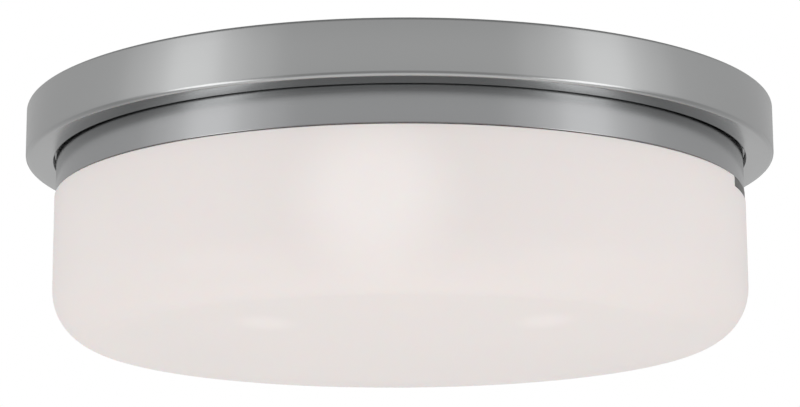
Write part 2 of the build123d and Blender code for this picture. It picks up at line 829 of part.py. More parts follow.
bracket_rivets = rivets(
    bracket_rivet_points,
    large_rivet,
    large_rivet_head,
    floor_under - bracket_sheet,
    pan_sheet + bracket_sheet,
)
save(bracket_rivets, "bracket_rivets")
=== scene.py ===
# %% [markdown]
# # A flush ceiling light with an opal glass shade
#
# The light hangs from a ceiling: a brushed nickel pan, a collar under it, and a glass drum over
# three lamps. The construction is loaded as a fixed frame of plain solids in metres, with the
# ceiling at z = 0. Each piece that shows is then modelled again here with its real edges,
# threads and finish, in the place that its solid holds, and rides on the same body.

import json
from math import asin, ceil, cos, degrees, floor, hypot, pi, radians, sin, sqrt, tan

import bpy
from mathutils import Matrix, Vector


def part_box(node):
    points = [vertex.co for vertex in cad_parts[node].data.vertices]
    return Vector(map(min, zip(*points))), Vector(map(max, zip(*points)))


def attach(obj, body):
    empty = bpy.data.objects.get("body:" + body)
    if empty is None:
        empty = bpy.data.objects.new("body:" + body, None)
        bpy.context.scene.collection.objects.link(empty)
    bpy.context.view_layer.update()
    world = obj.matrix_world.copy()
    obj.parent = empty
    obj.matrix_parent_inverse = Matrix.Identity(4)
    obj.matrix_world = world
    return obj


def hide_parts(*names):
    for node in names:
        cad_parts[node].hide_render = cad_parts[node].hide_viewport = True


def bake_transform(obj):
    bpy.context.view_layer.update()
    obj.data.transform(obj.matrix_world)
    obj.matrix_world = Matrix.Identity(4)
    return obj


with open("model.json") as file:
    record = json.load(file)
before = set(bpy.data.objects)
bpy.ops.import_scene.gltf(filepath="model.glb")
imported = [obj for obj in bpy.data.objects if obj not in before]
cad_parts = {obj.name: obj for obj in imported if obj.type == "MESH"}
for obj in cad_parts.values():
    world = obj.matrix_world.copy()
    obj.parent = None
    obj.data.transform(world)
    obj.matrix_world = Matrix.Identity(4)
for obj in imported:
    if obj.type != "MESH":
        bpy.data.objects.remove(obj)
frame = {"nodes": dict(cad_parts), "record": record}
behaviour = frame["record"]["behaviour"]
body_of = {node: body for body, held in behaviour["bodies"].items() for node in held}
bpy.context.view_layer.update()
mm = 0.001

# %% [markdown]
# ## Camera
#
# The photograph was taken from in front and a little below, with a long lens: the ring's two
# ends are nearly level and the drum's underside just shows. A long lens from about a metre
# gives the same flat ellipses. The small vertical shift puts the light where it stands in the
# picture, and the tiny roll is the photograph's own tilt.

# %% Camera
camera_distance = 1.1008
camera_rise = radians(11.585)
camera_target = Vector((0, 0, -45 * mm))
camera_roll = radians(-0.29)

bpy.ops.object.camera_add()
camera = bpy.context.object
camera.name = "camera"
camera.data.lens = 111.55
camera.data.sensor_width = 36
camera.data.shift_y = 0.0187
look = Vector((0, cos(camera_rise), sin(camera_rise)))
camera.location = camera_target - look * camera_distance
camera.rotation_mode = "QUATERNION"
roll = Matrix.Rotation(camera_roll, 4, "Z").to_quaternion()
camera.rotation_quaternion = look.to_track_quat("-Z", "Y") @ roll
bpy.context.scene.camera = camera
print("camera at", [round(v, 3) for v in camera.location])

# %% [markdown]
# ## Colours and shader nodes
#
# Colours are written as hex values, as a colour picker shows them, and Blender's sockets want
# them linear. Three small functions make every finish and the room: one turns a colour, one adds
# a node with its settings and links, and one starts a material round its Principled shader.


# %% Colours and shader nodes
def linear(colour):
    """The linear value of an sRGB colour given as #rrggbb."""
    parts = [int(colour[n : n + 2], 16) / 255 for n in (1, 3, 5)]
    return [p / 12.92 if p <= 0.04045 else ((p + 0.055) / 1.055) ** 2.4 for p in parts] + [1.0]


def add_node(tree, kind, inputs=None, **settings):
    """Add a node, set its properties and inputs. An input that is a socket is linked."""
    node = tree.nodes.new(kind)
    for name, value in settings.items():
        setattr(node, name, value)
    for name, value in (inputs or {}).items():
        socket = node.inputs[name]
        if isinstance(value, bpy.types.NodeSocket):
            tree.links.new(value, socket)
        else:
            socket.default_value = value
    return node


def new_finish(name, colour, roughness, metallic=0.0, **sockets):
    """A material with one Principled shader. Returns the material, its tree and the shader."""
    finish = bpy.data.materials.new(name)
    finish.use_nodes = True
    tree = finish.node_tree
    shader = tree.nodes["Principled BSDF"]
    shader.inputs["Base Color"].default_value = linear(colour)
    shader.inputs["Roughness"].default_value = roughness
    shader.inputs["Metallic"].default_value = metallic
    for socket, value in sockets.items():
        shader.inputs[socket.replace("_", " ")].default_value = value
    return finish, tree, shader


print("mid grey is", round(linear("#808080")[0], 3), "in linear light")

# %% [markdown]
# ## Room
#
# A brushed metal drum shows what stands around it more than its own colour. The backdrop behind
# the light is white. What the metal mirrors is a grey room, painted into the world as a ramp
# from floor to ceiling, and the Light Path node tells which ray gets which. As a source of light
# the room is dimmer than white, so that the white glass doesn't clip.
#
# The drum's underside is seen at a very flat angle, so it mirrors the low far side of the room.
# That side is brighter than the near one, and above eye level it is dimmer, which is what turns
# the ring darker towards its two ends.

# %% Room
room_light = 0.87
# How bright the room's far side is as a share of its near side, above eye level and below it.
back_share, low_back_share = 0.75, 1.7
# What the metal mirrors, from straight below to straight above: a white card far under the
# light, a dark floor round it, pale walls and a darker ceiling. Heights are sines of the angle.
floor_edge, wall_foot = -0.12, 0.02
mirrored_room = (
    (-1.0, 0.95),
    (-0.85, 0.90),
    (-0.70, 0.38),
    (floor_edge, 0.40),
    (wall_foot, 0.69),
    (0.36, 0.69),
    (0.77, 0.30),
)

scene = bpy.context.scene
scene.view_settings.view_transform = "Standard"
world = bpy.data.worlds.new("room")
scene.world = world
world.use_nodes = True
tree = world.node_tree
tree.nodes.clear()
path = add_node(tree, "ShaderNodeLightPath").outputs
direction = add_node(tree, "ShaderNodeTexCoord").outputs["Generated"]
ways = add_node(tree, "ShaderNodeSeparateXYZ", {0: direction}).outputs
share = add_node(tree, "ShaderNodeMapRange", {"Value": ways["Z"], "From Min": -1.0})
by_height = add_node(tree, "ShaderNodeValToRGB", {"Fac": share.outputs[0]})
ramp = by_height.color_ramp.elements
for height, level in mirrored_room[1:-1]:
    ramp.new((height + 1) / 2)
for stop, (height, level) in zip(ramp, mirrored_room):
    stop.position = (height + 1) / 2
    stop.color = (level, level, level, 1)
far_side = add_node(
    tree,
    "ShaderNodeMapRange",
    {
        "Value": ways["Z"],
        "From Min": floor_edge,
        "From Max": wall_foot,
        "To Min": low_back_share,
        "To Max": back_share,
    },
).outputs[0]
by_depth = add_node(
    tree, "ShaderNodeMapRange", {"Value": ways["Y"], "To Min": 1.0, "To Max": far_side}
).outputs[0]
in_metal = add_node(
    tree, "ShaderNodeMath", {0: by_height.outputs[0], 1: by_depth}, operation="MULTIPLY"
).outputs[0]
unseen = add_node(
    tree, "ShaderNodeMix", {"Factor": path["Is Glossy Ray"], "A": room_light, "B": in_metal}
).outputs[0]
seen = add_node(
    tree,
    "ShaderNodeMath",
    {0: path["Is Camera Ray"], 1: path["Is Transmission Ray"]},
    operation="MAXIMUM",
).outputs[0]
strength = add_node(tree, "ShaderNodeMix", {"Factor": seen, "A": unseen, "B": 1.0}).outputs[0]
room = add_node(tree, "ShaderNodeBackground", {"Color": (1, 1, 1, 1), "Strength": strength})
add_node(tree, "ShaderNodeOutputWorld", {"Surface": room.outputs[0]})
print("the metal mirrors a ramp of", len(ramp), "greys")

# %% [markdown]
# ## Floor and soft boxes
#
# The floor lies where a room's floor would be, far enough down that the light can be looked at
# from below. It isn't mirrored, because the painted room already has its own floor. A tall soft
# box to each side of the camera gives the two upright highlights on the ring, with their slow
# fall-off. A low one under each is only mirrored, by the rolled edge and the rim's underside. A
# wide lamp close to the floor lights the drum's bottom, and nothing mirrors it.

# %% Floor and soft boxes
floor_depth = 3.6

bpy.ops.object.select_all(action="DESELECT")
bpy.ops.mesh.primitive_plane_add(size=60, location=(0, 0, -floor_depth))
floor_plane = bpy.context.object
floor_plane.name = "floor"
bpy.ops.object.transform_apply(location=True)
floor_plane.data.materials.append(new_finish("pale_floor_paint", "#f4f3f1", 0.7)[0])
floor_plane.visible_glossy = False


def soft_box(name, place, width, depth, power, mirrored=True, lights=True):
    """An area lamp, in metres and watts, that is aimed at the light and isn't seen itself."""
    bpy.ops.object.light_add(type="AREA", location=place)
    lamp = bpy.context.object
    lamp.name = name
    lamp.data.shape = "RECTANGLE"
    lamp.data.size = width
    lamp.data.size_y = depth
    lamp.data.energy = power
    lamp.rotation_mode = "QUATERNION"
    lamp.rotation_quaternion = (Vector((0, 0, -0.05)) - Vector(place)).to_track_quat("-Z", "Y")
    lamp.visible_camera = False
    lamp.visible_glossy = mirrored
    lamp.visible_diffuse = lights


# Each box is brighter towards its middle: width and power of three layers, from the back.
layers = ((1.85, 2.1), (1.10, 1.25), (0.54, 1.35))
box_reach, box_height = 1.9, 2.4
for side, azimuth in (("left", radians(-60)), ("right", radians(59.5))):
    for number, (width, power) in enumerate(layers):
        reach = box_reach - 0.1 * number
        place = (sin(azimuth) * reach, -cos(azimuth) * reach, -0.2)
        soft_box(f"{side}_box_{number + 1}", place, width, box_height, power)
    low_place = (sin(azimuth) * box_reach, -cos(azimuth) * box_reach, -1.1)
    soft_box(f"{side}_low_box", low_place, 0.8, 1.4, 4.9, lights=False)
soft_box("floor_fill", (0, 0, 0.1 - floor_depth), 8, 8, 52, mirrored=False)
print("floor at", -floor_depth, "m,", len(bpy.data.lights), "lamps")

# %% [markdown]
# ## Finishes
#
# Each finish starts from what the real surface is and how it was made. No real surface is the
# same all over: a pattern lets its colour and gloss differ a little from place to place, and
# raises it a little. All patterns read Object coordinates, so they keep to the piece.


# %% What a pattern does to a surface
def vary(tree, shader, pattern, colour, tint, roughness, uneven):
    """Let a pattern around 0.5 tint the colour by a share and move the roughness."""
    base = linear(colour)[:3]
    tinted = add_node(
        tree,
        "ShaderNodeMix",
        {
            "Factor": pattern,
            "A": [part * (1 - tint) for part in base] + [1],
            "B": [min(part * (1 + tint), 1) for part in base] + [1],
        },
        data_type="RGBA",
    )
    rough = add_node(
        tree,
        "ShaderNodeMapRange",
        {
            "Value": pattern,
            "From Min": 0.3,
            "From Max": 0.7,
            "To Min": roughness - uneven,
            "To Max": roughness + uneven,
        },
    )
    tree.links.new(tinted.outputs["Result"], shader.inputs["Base Color"])
    tree.links.new(rough.outputs[0], shader.inputs["Roughness"])


def raise_by(tree, shader, pattern, height, strength=1.0):
    """Let a pattern lift the surface by a height in mm."""
    bump = add_node(
        tree, "ShaderNodeBump", {"Strength": strength, "Distance": height * mm, "Height": pattern}
    )
    tree.links.new(bump.outputs[0], shader.inputs["Normal"])


print("finishes before the first one is made:", len(bpy.data.materials))

# %% [markdown]
# ## Brushed nickel
#
# The nickel is turned on a lathe against abrasive cloth, so its fine lines run round the axis.
# The pattern is noise that is stretched round the ring and is fine across it. With the shader's
# anisotropy along the same way, a highlight spreads upright, across the lines. That is what makes
# brushed metal look soft, more than the lines themselves do.


# %% Finish: brushed nickel
def brushed_round(name, colour, roughness):
    """Metal brushed on a lathe, with its lines round the axis."""
    finish, tree, shader = new_finish(
        name, colour, roughness, 1.0, Anisotropic=0.5, Anisotropic_Rotation=0.25
    )
    place = add_node(tree, "ShaderNodeTexCoord").outputs["Object"]
    flat = add_node(tree, "ShaderNodeVectorMath", {0: place, 1: (1, 1, 0)}, operation="MULTIPLY")
    radius = add_node(tree, "ShaderNodeVectorMath", {0: flat.outputs[0]}, operation="LENGTH")
    height = add_node(tree, "ShaderNodeSeparateXYZ", {0: place}).outputs["Z"]
    across = add_node(
        tree, "ShaderNodeMath", {0: radius.outputs["Value"], 1: height}, operation="ADD"
    ).outputs[0]
    # Real lines are 0.05 mm apart. These are 0.6 mm apart, so that they show.
    fine = add_node(
        tree, "ShaderNodeMath", {0: across, 1: 1 / (0.6 * mm)}, operation="MULTIPLY"
    ).outputs[0]
    # Round the axis a line runs for 60 mm.
    slow = add_node(
        tree,
        "ShaderNodeVectorMath",
        {0: flat.outputs[0], "Scale": 1 / (60 * mm)},
        operation="SCALE",
    )
    around = add_node(tree, "ShaderNodeSeparateXYZ", {0: slow.outputs[0]})
    stretched = add_node(
        tree,
        "ShaderNodeCombineXYZ",
        {"X": around.outputs["X"], "Y": around.outputs["Y"], "Z": fine},
    )
    lines = add_node(
        tree,
        "ShaderNodeTexNoise",
        {"Vector": stretched.outputs[0], "Scale": 1.0, "Detail": 4.0, "Roughness": 0.65},
    ).outputs["Fac"]
    vary(tree, shader, lines, colour, 0.02, roughness, 0.02)
    raise_by(tree, shader, lines, 0.02, 0.03)
    tangent = add_node(tree, "ShaderNodeTangent", direction_type="RADIAL", axis="Z")
    tree.links.new(tangent.outputs[0], shader.inputs["Tangent"])
    return finish


brushed_nickel = brushed_round("brushed_nickel_plate", "#b3b4b4", 0.24)
# The collar's nickel is painted a little darker: painted shade for the overhang of the ring above
# it.
shaded_nickel = brushed_round("brushed_nickel_with_painted_shade", "#aaabac", 0.24)
print("brushed finishes:", brushed_nickel.name, "and", shaded_nickel.name)

# %% [markdown]
# ## Even finishes
#
# The small parts have finishes without a direction. A plated sheet, a glaze, a moulding and a
# foam differ in colour, gloss and the size of their grain, so one function makes them all from
# those sizes. The grain tints the colour, moves the roughness and lifts the surface a little.


# %% Even finishes
def grained(name, colour, roughness, metallic, grain, tint, uneven, lift, **sockets):
    """A finish with one grain: its size in mm, share of tint, unevenness and height in mm."""
    finish, tree, shader = new_finish(name, colour, roughness, metallic, **sockets)
    place = add_node(tree, "ShaderNodeTexCoord").outputs["Object"]
    noise = add_node(
        tree,
        "ShaderNodeTexNoise",
        {"Vector": place, "Scale": 1 / (grain * mm), "Detail": 3.0, "Roughness": 0.6},
    ).outputs["Fac"]
    vary(tree, shader, noise, colour, tint, roughness, uneven)
    raise_by(tree, shader, noise, lift, 0.5)
    return finish


# Zinc plate on steel: a bluish metal with a faint cloudy spangle.
zinc_plate = grained("bright_zinc_plate", "#b6b9bc", 0.32, 1.0, 2.5, 0.10, 0.08, 0.01)
# Spring steel, tempered after stamping: a dark oxide that is half dull.
spring_steel = grained("tempered_spring_steel", "#6b6967", 0.38, 1.0, 1.2, 0.12, 0.06, 0.01)
# Zinc dyed green, as earth screws are: still metal under the dye.
green_zinc = grained("green_dyed_zinc", "#3f8f55", 0.35, 1.0, 1.5, 0.12, 0.06, 0.01)
# Silicone foam: white and dull, with fine closed cells.
silicone_foam = grained("white_silicone_foam", "#dedbd4", 0.75, 0.0, 0.5, 0.06, 0.08, 0.10)
# Nylon moulded in a spark-eroded tool: black with a fine dull texture.
black_nylon = grained("moulded_black_nylon", "#1d1d1e", 0.45, 0.0, 0.3, 0.10, 0.06, 0.02)
# Porcelain under a clear glaze: near white, glossy, with slow waves in the glaze.
porcelain = grained(
    "glazed_porcelain", "#e9e5da", 0.16, 0.0, 6.0, 0.025, 0.04, 0.05,
    Coat_Weight=0.4, Coat_Roughness=0.06,
)
# Rolled brass: a warm yellow that is tarnished in soft patches.
rolled_brass = grained("rolled_brass", "#c9a45c", 0.26, 1.0, 3.0, 0.10, 0.07, 0.01)
# Rolled aluminium of a lamp's base: pale, with a soft gloss.
rolled_aluminium = grained("rolled_aluminium", "#c8c9cb", 0.28, 1.0, 2.0, 0.05, 0.06, 0.01)
# Black glass that closes the base, and the solder of its contact.
black_glass = grained("black_base_glass", "#121215", 0.12, 0.0, 2.0, 0.10, 0.04, 0.02)
solder = grained("tinned_solder", "#b3b5b6", 0.36, 1.0, 0.8, 0.08, 0.08, 0.06)
# Lamp glass that is frosted inside: an even white, satin to the eye.
frosted_glass = grained(
    "frosted_lamp_glass", "#f1efe9", 0.36, 0.0, 4.0, 0.01, 0.04, 0.01,
    Subsurface_Weight=0.15, Subsurface_Scale=2 * mm,
)
print("finishes so far:", len(bpy.data.materials))

# %% [markdown]
# ## Glass fibre
#
# The mat over the pan keeps the lamps' heat from the ceiling. Real mat is a felt of fine yellow
# fibres that lie in all level directions. Three noises, each stretched in its own direction, are
# laid over each other, and a coarser one gathers them in clumps.

# %% Finish: glass fibre
fibre_colour = "#cfbd7a"
glass_fibre, tree, shader = new_finish(
    "glass_fibre_mat", fibre_colour, 0.9, 0.0, Sheen_Weight=0.25, Sheen_Roughness=0.5
)
place = add_node(tree, "ShaderNodeTexCoord").outputs["Object"]
# Fibres are 0.01 mm thick. They are drawn as strands 0.8 mm thick and 10 mm long, to show.
felt = None
for turn in (0.3, 1.4, 2.4):
    lie = add_node(
        tree,
        "ShaderNodeMapping",
        {
            "Vector": place,
            "Rotation": (0.2, 0.1, turn),
            "Scale": (1 / (10 * mm), 1 / (0.8 * mm), 1 / (2 * mm)),
        },
    )
    strands = add_node(
        tree,
        "ShaderNodeTexNoise",
        {"Vector": lie.outputs[0], "Scale": 1.0, "Detail": 3.0, "Roughness": 0.7},
    ).outputs["Fac"]
    if felt is None:
        felt = strands
    else:
        felt = add_node(
            tree, "ShaderNodeMath", {0: felt, 1: strands}, operation="MAXIMUM"
        ).outputs[0]
# Clumps are 9 mm across.
clumps = add_node(
    tree, "ShaderNodeTexNoise", {"Vector": place, "Scale": 1 / (9 * mm), "Detail": 4.0}
).outputs["Fac"]
mixed = add_node(tree, "ShaderNodeMath", {0: felt, 1: clumps}, operation="MULTIPLY").outputs[0]
spread = add_node(
    tree, "ShaderNodeMapRange", {"Value": mixed, "From Min": 0.15, "From Max": 0.45}
).outputs[0]
vary(tree, shader, spread, fibre_colour, 0.22, 0.9, 0.05)
raise_by(tree, shader, mixed, 0.8, 0.9)
print(glass_fibre.name, "has", len(tree.nodes), "nodes")

# %% [markdown]
# ## Where the lamps lie
#
# Three lamps lie flat in the drum, a third of a turn apart, each tipped a little down towards
# its globe. Their joints say where each contact is and which way the lamp points. The lamps are
# placed by that later on, and the painted light spots on the glass come from it now.

# %% Where the lamps lie
globe_radius = 30.15
lamp_length = 108.15
joints = {joint["name"]: joint for joint in behaviour["joints"]}
lamp_numbers = (1, 2, 3)


def lamp_place(number):
    """Where a lamp lies: Z runs along it from its contact, X points outwards and Y up."""
    joint = joints[f"bulb_{number}_turn"]
    along = Vector(joint["axis"]).normalized()
    side = Vector((0, 0, 1)).cross(along).normalized()
    turned_to = Matrix((side, along.cross(side), along)).transposed().to_4x4()
    return Matrix.Translation(Vector(joint["pos_m"])) @ turned_to


lamp_places = {number: lamp_place(number) for number in lamp_numbers}
print("lamps point to", [round(degrees(p.to_euler().z)) for p in lamp_places.values()], "degrees")

# %% [markdown]
# ## Opal glass
#
# Opal glass is white all through: tiny crystals scatter the light, so the shade has no clear
# depth and only a satin sheen. It is blown in a mould and etched, which leaves very slow waves.
# The light of the lamps' white globes behind it is painted into the glass's colour, a shade
# lighter where they lie nearest. On the wall that is one wide painted glow in front of each globe,
# a little lower than the lamp, because a globe is brightest on its underside. On the bottom only
# the two rear lamps show, as small painted glows near the front, where the flat view looks
# through to them. The painted glows stay with the glass from any side.

# %% Finish: opal glass
# A globe's painted glow is brightest 71 mm along its lamp, and on the wall 14 mm under that.
glow_along, glow_below = 71.0, 14.0
# How far out the wall's painted glows lie, and the height and distance to the front of the
# bottom's.
wall_out, bottom_height, bottom_front = 152.2, -106.6, 89.5
painted_wall_glows, painted_bottom_glows = [], []
for place in lamp_places.values():
    globe = place @ Vector((0, 0, glow_along * mm))
    out = globe.xy.normalized() * wall_out * mm
    painted_wall_glows.append((out.x, out.y, globe.z - glow_below * mm))
    if globe.y > 0:
        painted_bottom_glows.append((globe.x, -bottom_front * mm, bottom_height * mm))

opal_colour = "#ebe4e2"
opal_glass, tree, shader = new_finish(
    "etched_opal_glass", opal_colour, 0.45, 0.0,
    Specular_IOR_Level=0.35, Subsurface_Weight=0.2, Subsurface_Scale=4 * mm,
)
place = add_node(tree, "ShaderNodeTexCoord").outputs["Object"]


def spots(tree, place, centres, core, edge, amount):
    """A soft spot of painted light round each centre: its full core and its edge in mm, and how
    much it adds.
    """
    nearest = 1.0
    for centre in centres:
        away = add_node(tree, "ShaderNodeVectorMath", {0: place, 1: centre}, operation="DISTANCE")
        nearest = add_node(
            tree, "ShaderNodeMath", {0: away.outputs["Value"], 1: nearest}, operation="MINIMUM"
        ).outputs[0]
    return add_node(
        tree,
        "ShaderNodeMapRange",
        {
            "Value": nearest,
            "From Min": core * mm,
            "From Max": edge * mm,
            "To Min": amount,
            "To Max": 0.0,
        },
        interpolation_type="SMOOTHSTEP",
    ).outputs[0]


# Painted light: a lighter patch of the glass's colour round each globe, on the wall and the
# bottom.
painted_wall_glow = spots(tree, place, painted_wall_glows, 8, 42, 0.65)
painted_bottom_glow = spots(tree, place, painted_bottom_glows, 3, 16, 0.35)
painted_glow = add_node(tree, "ShaderNodeMath", {0: painted_wall_glow, 1: painted_bottom_glow}, operation="ADD").outputs[0]
# Slow clouds in the glass, 70 mm across.
clouds = add_node(
    tree, "ShaderNodeTexNoise", {"Vector": place, "Scale": 1 / (70 * mm), "Detail": 1.0}
).outputs["Fac"]
vary(tree, shader, clouds, opal_colour, 0.015, 0.45, 0.03)
# The painted glows mix the glass's colour towards a near white.
plain_opal = shader.inputs["Base Color"].links[0].from_socket
painted_glow_opal = add_node(
    tree,
    "ShaderNodeMix",
    {"Factor": painted_glow, "A": plain_opal, "B": linear("#fbf4f2")},
    data_type="RGBA",
)
tree.links.new(painted_glow_opal.outputs["Result"], shader.inputs["Base Color"])
raise_by(tree, shader, clouds, 0.4, 0.3)
print("spots on the wall at", [tuple(round(v / mm, 1) for v in spot) for spot in painted_wall_glows])

# %% [markdown]
# ## Outlines
#
# Nearly every piece here was made from one outline: spun on a lathe, blown in a round mould,
# or bent from strip. So each piece starts as a line of corners, written as a distance out from
# the axis and a height, both in millimetres. A third number rounds that corner off. A bent
# sheet has two faces, which are the same line moved to each side, where a bend that is tight on
# one face is wide on the other.


# %% Outlines
def size_of(node):
    """Lowest and highest corner of a plain solid, in millimetres."""
    low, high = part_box(node)
    return Vector(low) / mm, Vector(high) / mm


def rounded(corners, steps=5):
    """The points of an outline, with an arc at each corner that has a radius."""
    points = []
    for number, corner in enumerate(corners):
        at = Vector(corner[:2])
        if len(corner) == 2:
            points.append(at)
            continue
        back = (Vector(corners[number - 1][:2]) - at).normalized()
        ahead = (Vector(corners[(number + 1) % len(corners)][:2]) - at).normalized()
        half = back.angle(ahead) / 2
        reach = (back + ahead).normalized() / sin(half)
        first = back / tan(half) - reach
        last = ahead / tan(half) - reach
        centre = at + reach * corner[2]
        arms = [first.slerp(last, step / steps) for step in range(steps + 1)]
        points += [centre + arm * corner[2] for arm in arms]
    return points


def parallel(corners, left):
    """The same line moved to its left, seen along its way."""
    ways = [(Vector(b[:2]) - Vector(a[:2])).normalized() for a, b in zip(corners, corners[1:])]
    moved = []
    for number, corner in enumerate(corners):
        before = ways[max(number - 1, 0)]
        after = ways[min(number, len(ways) - 1)]
        sides = before.orthogonal() + after.orthogonal()
        at = Vector(corner[:2]) + sides / (1 + before.dot(after)) * left
        bend = sum(corner[2:]) + (left if before.cross(after) < 0 else -left)
        moved.append((at.x, at.y, bend) if len(corner) == 3 and bend > 0.02 else (at.x, at.y))
    return moved


def sheet(corners, left, right):
    """Both faces of a bent sheet, from a line of corners and its distance to each face."""
    return rounded(parallel(corners, left)) + rounded(parallel(corners, -right))[::-1]


def arc(centre, radius, start, end, steps):
    """Points on a circle, from one angle to another in degrees."""
    turns = [radians(start + (end - start) * step / steps) for step in range(steps + 1)]
    return [Vector(centre) + Vector((cos(turn), sin(turn))) * radius for turn in turns]


def dome(half_width, rise):
    """The radius of an arc over a width with a rise, and its half angle in degrees."""
    radius = (half_width**2 + rise**2) / (2 * rise)
    return radius, degrees(asin(half_width / radius))


def oblong(inner, outer, low, high):
    """The four corners of an upright oblong."""
    return [(inner, low), (outer, low), (outer, high), (inner, high)]


corner = rounded([(0, 0), (9, 0, 2), (9, 9)], 2)
print("a corner rounded at 2 mm:", [tuple(round(v, 2) for v in point) for point in corner])

# %% [markdown]
# ## Drawing and turning
#
# The outline is drawn with the extrude tool, vertex by vertex, in the upright plane. Spin turns
# it into a lathe piece or carries it round a part of the rim, and extrude pulls it out into a
# bar. After that the seam is merged, the faces are turned outwards and the piece's place goes
# into its mesh.


# %% Drawing and turning
smooth_under = radians(35)


def choose(*pieces):
    """Select these pieces alone and make the first one active."""
    bpy.ops.object.select_all(action="DESELECT")
    for piece in pieces:
        piece.select_set(True)
    bpy.context.view_layer.objects.active = pieces[0]


def draw(points):
    """Draw an open line through points of an outline, and leave it selected in edit mode."""
    bpy.ops.object.select_all(action="DESELECT")
    bpy.ops.mesh.primitive_plane_add(size=mm)
    bpy.ops.object.mode_set(mode="EDIT")
    bpy.ops.mesh.merge(type="CENTER")
    bpy.ops.transform.translate(value=Vector((points[0][0], 0, points[0][1])) * mm)
    for start, end in zip(points, points[1:]):
        step = Vector((end[0] - start[0], 0, end[1] - start[1])) * mm
        bpy.ops.mesh.extrude_vertices_move(TRANSFORM_OT_translate={"value": step})
    bpy.ops.mesh.select_all(action="SELECT")


def settle(name):
    """Merge the seam, turn the faces outwards and keep the piece's place in its mesh."""
    bpy.ops.mesh.select_all(action="SELECT")
    bpy.ops.mesh.remove_doubles(threshold=1e-6)
    bpy.ops.mesh.normals_make_consistent(inside=False)
    bpy.ops.object.mode_set(mode="OBJECT")
    bpy.ops.object.transform_apply(location=True, rotation=True, scale=True)
    bpy.ops.object.shade_smooth_by_angle(angle=smooth_under)
    piece = bpy.context.object
    piece.name = name
    piece.data.name = name
    return piece


def turned(name, points, steps=256, ring=True):
    """Spin an outline once round the upright axis. A ring's outline is closed first."""
    draw(points)
    if ring:
        bpy.ops.mesh.edge_face_add()
        bpy.ops.mesh.delete(type="ONLY_FACE")
        bpy.ops.mesh.select_all(action="SELECT")
    bpy.ops.mesh.spin(steps=steps, angle=2 * pi, center=(0, 0, 0), axis=(0, 0, 1))
    return settle(name)


def arc_bar(name, points, middle, half_angle, steps):
    """Sweep a closed outline round the axis, by an angle to each side of its middle."""
    # Spin turns clockwise seen from above, so the outline starts at the far end of the arc.
    draw(points)
    bpy.ops.mesh.edge_face_add()
    bpy.ops.mesh.spin(steps=steps, angle=radians(2 * half_angle), center=(0, 0, 0), axis=(0, 0, 1))
    bpy.context.object.rotation_euler.z = radians(middle + half_angle)
    return settle(name)


def bar(name, points, width, turn=0):
    """Pull a closed outline out to a width, facing in a direction given in degrees."""
    draw(points)
    bpy.ops.mesh.edge_face_add()
    bpy.ops.transform.translate(value=(0, -width / 2 * mm, 0))
    bpy.ops.mesh.extrude_region_move(TRANSFORM_OT_translate={"value": (0, width * mm, 0)})
    bpy.context.object.rotation_euler.z = radians(turn)
    return settle(name)


print("edges under", round(degrees(smooth_under)), "degrees are shaded smooth")

# %% [markdown]
# ## Edges and holes
#
# Sharp edges get a small bevel, because an edge without one catches no light: a pressed edge is
# round by the tool, and a cut one by tumbling. Holes and pockets are cut with a piece of their
# own shape. Each modifier is applied at once, so that the next step works on a plain mesh.


# %% Edges and holes
bevel_over = 35


def apply_modifier(piece, kind, **settings):
    """Add a modifier with these settings and apply it."""
    choose(piece)
    modifier = piece.modifiers.new(kind.lower(), kind)
    for name, value in settings.items():
        setattr(modifier, name, value)
    bpy.ops.object.modifier_apply(modifier=modifier.name)
    return piece


def soften(piece, width, segments=3, angle=bevel_over):
    """Round the edges that are sharper than an angle, by a width in mm."""
    apply_modifier(
        piece,
        "BEVEL",
        width=width * mm,
        segments=segments,
        limit_method="ANGLE",
        angle_limit=radians(angle),
        harden_normals=True,
    )
    bpy.ops.object.shade_smooth_by_angle(angle=smooth_under)
    return piece


def cut(piece, *cutters, keep="DIFFERENCE"):
    """Cut other pieces out of a piece, or join them to it, and remove them."""
    for cutter in cutters:
        apply_modifier(piece, "BOOLEAN", operation=keep, solver="EXACT", object=cutter)
        bpy.data.objects.remove(cutter)
    bpy.ops.mesh.customdata_custom_splitnormals_clear()
    bpy.ops.object.shade_smooth_by_angle(angle=smooth_under)
    return piece


print("edges over", bevel_over, "degrees get a bevel")

# %% [markdown]
# ## Joining and copying
#
# What comes in numbers, as rivets and screws do, is modelled once at the origin and copied to
# each place. Every copy's place goes into its mesh.


# %% Joining and copying
def joined(name, *pieces):
    """Make several pieces one, with their places in its mesh."""
    choose(*pieces)
    bpy.ops.object.join()
    bpy.ops.object.transform_apply(location=True, rotation=True, scale=True)
    bpy.context.object.name = name
    return bpy.context.object


def set_in(piece, place):
    """Move a piece that was modelled at the origin, and keep its place in its mesh."""
    choose(piece)
    piece.matrix_world = place
    bpy.ops.object.transform_apply(location=True, rotation=True, scale=True)
    return piece


def repeat(name, piece, places):
    """Copy a piece to each place, as one piece."""
    copies = []
    for place in places:
        choose(piece)
        bpy.ops.object.duplicate()
        copies.append(set_in(bpy.context.object, place))
    bpy.data.objects.remove(piece)
    return joined(name, *copies)


def at(x, y, z=0):
    """A place in millimetres, unturned."""
    return Matrix.Translation(Vector((x, y, z)) * mm)


def pegs(points, radius, low, high):
    """Upright round pegs at points of the ceiling plane, as one piece to cut with."""
    made = []
    for x, y in points:
        bpy.ops.object.select_all(action="DESELECT")
        bpy.ops.mesh.primitive_cylinder_add(
            vertices=48,
            radius=radius * mm,
            depth=(high - low) * mm,
            location=Vector((x, y, (low + high) / 2)) * mm,
        )
        made.append(bpy.context.object)
    return joined("pegs", *made)


print("5 mm out is", tuple(round(v, 4) for v in at(5, 0).translation), "in metres")

# %% [markdown]
# ## Fitting
#
# A finished piece takes its material, stands for its solid in the frame and moves with the same
# body. Some pressed and cast parts have the right shape already: those are copied from the
# frame, their triangles are merged back into faces, and only their edges are softened. A solid
# that holds several loose fasteners is measured, so that each one gets its modelled copy.


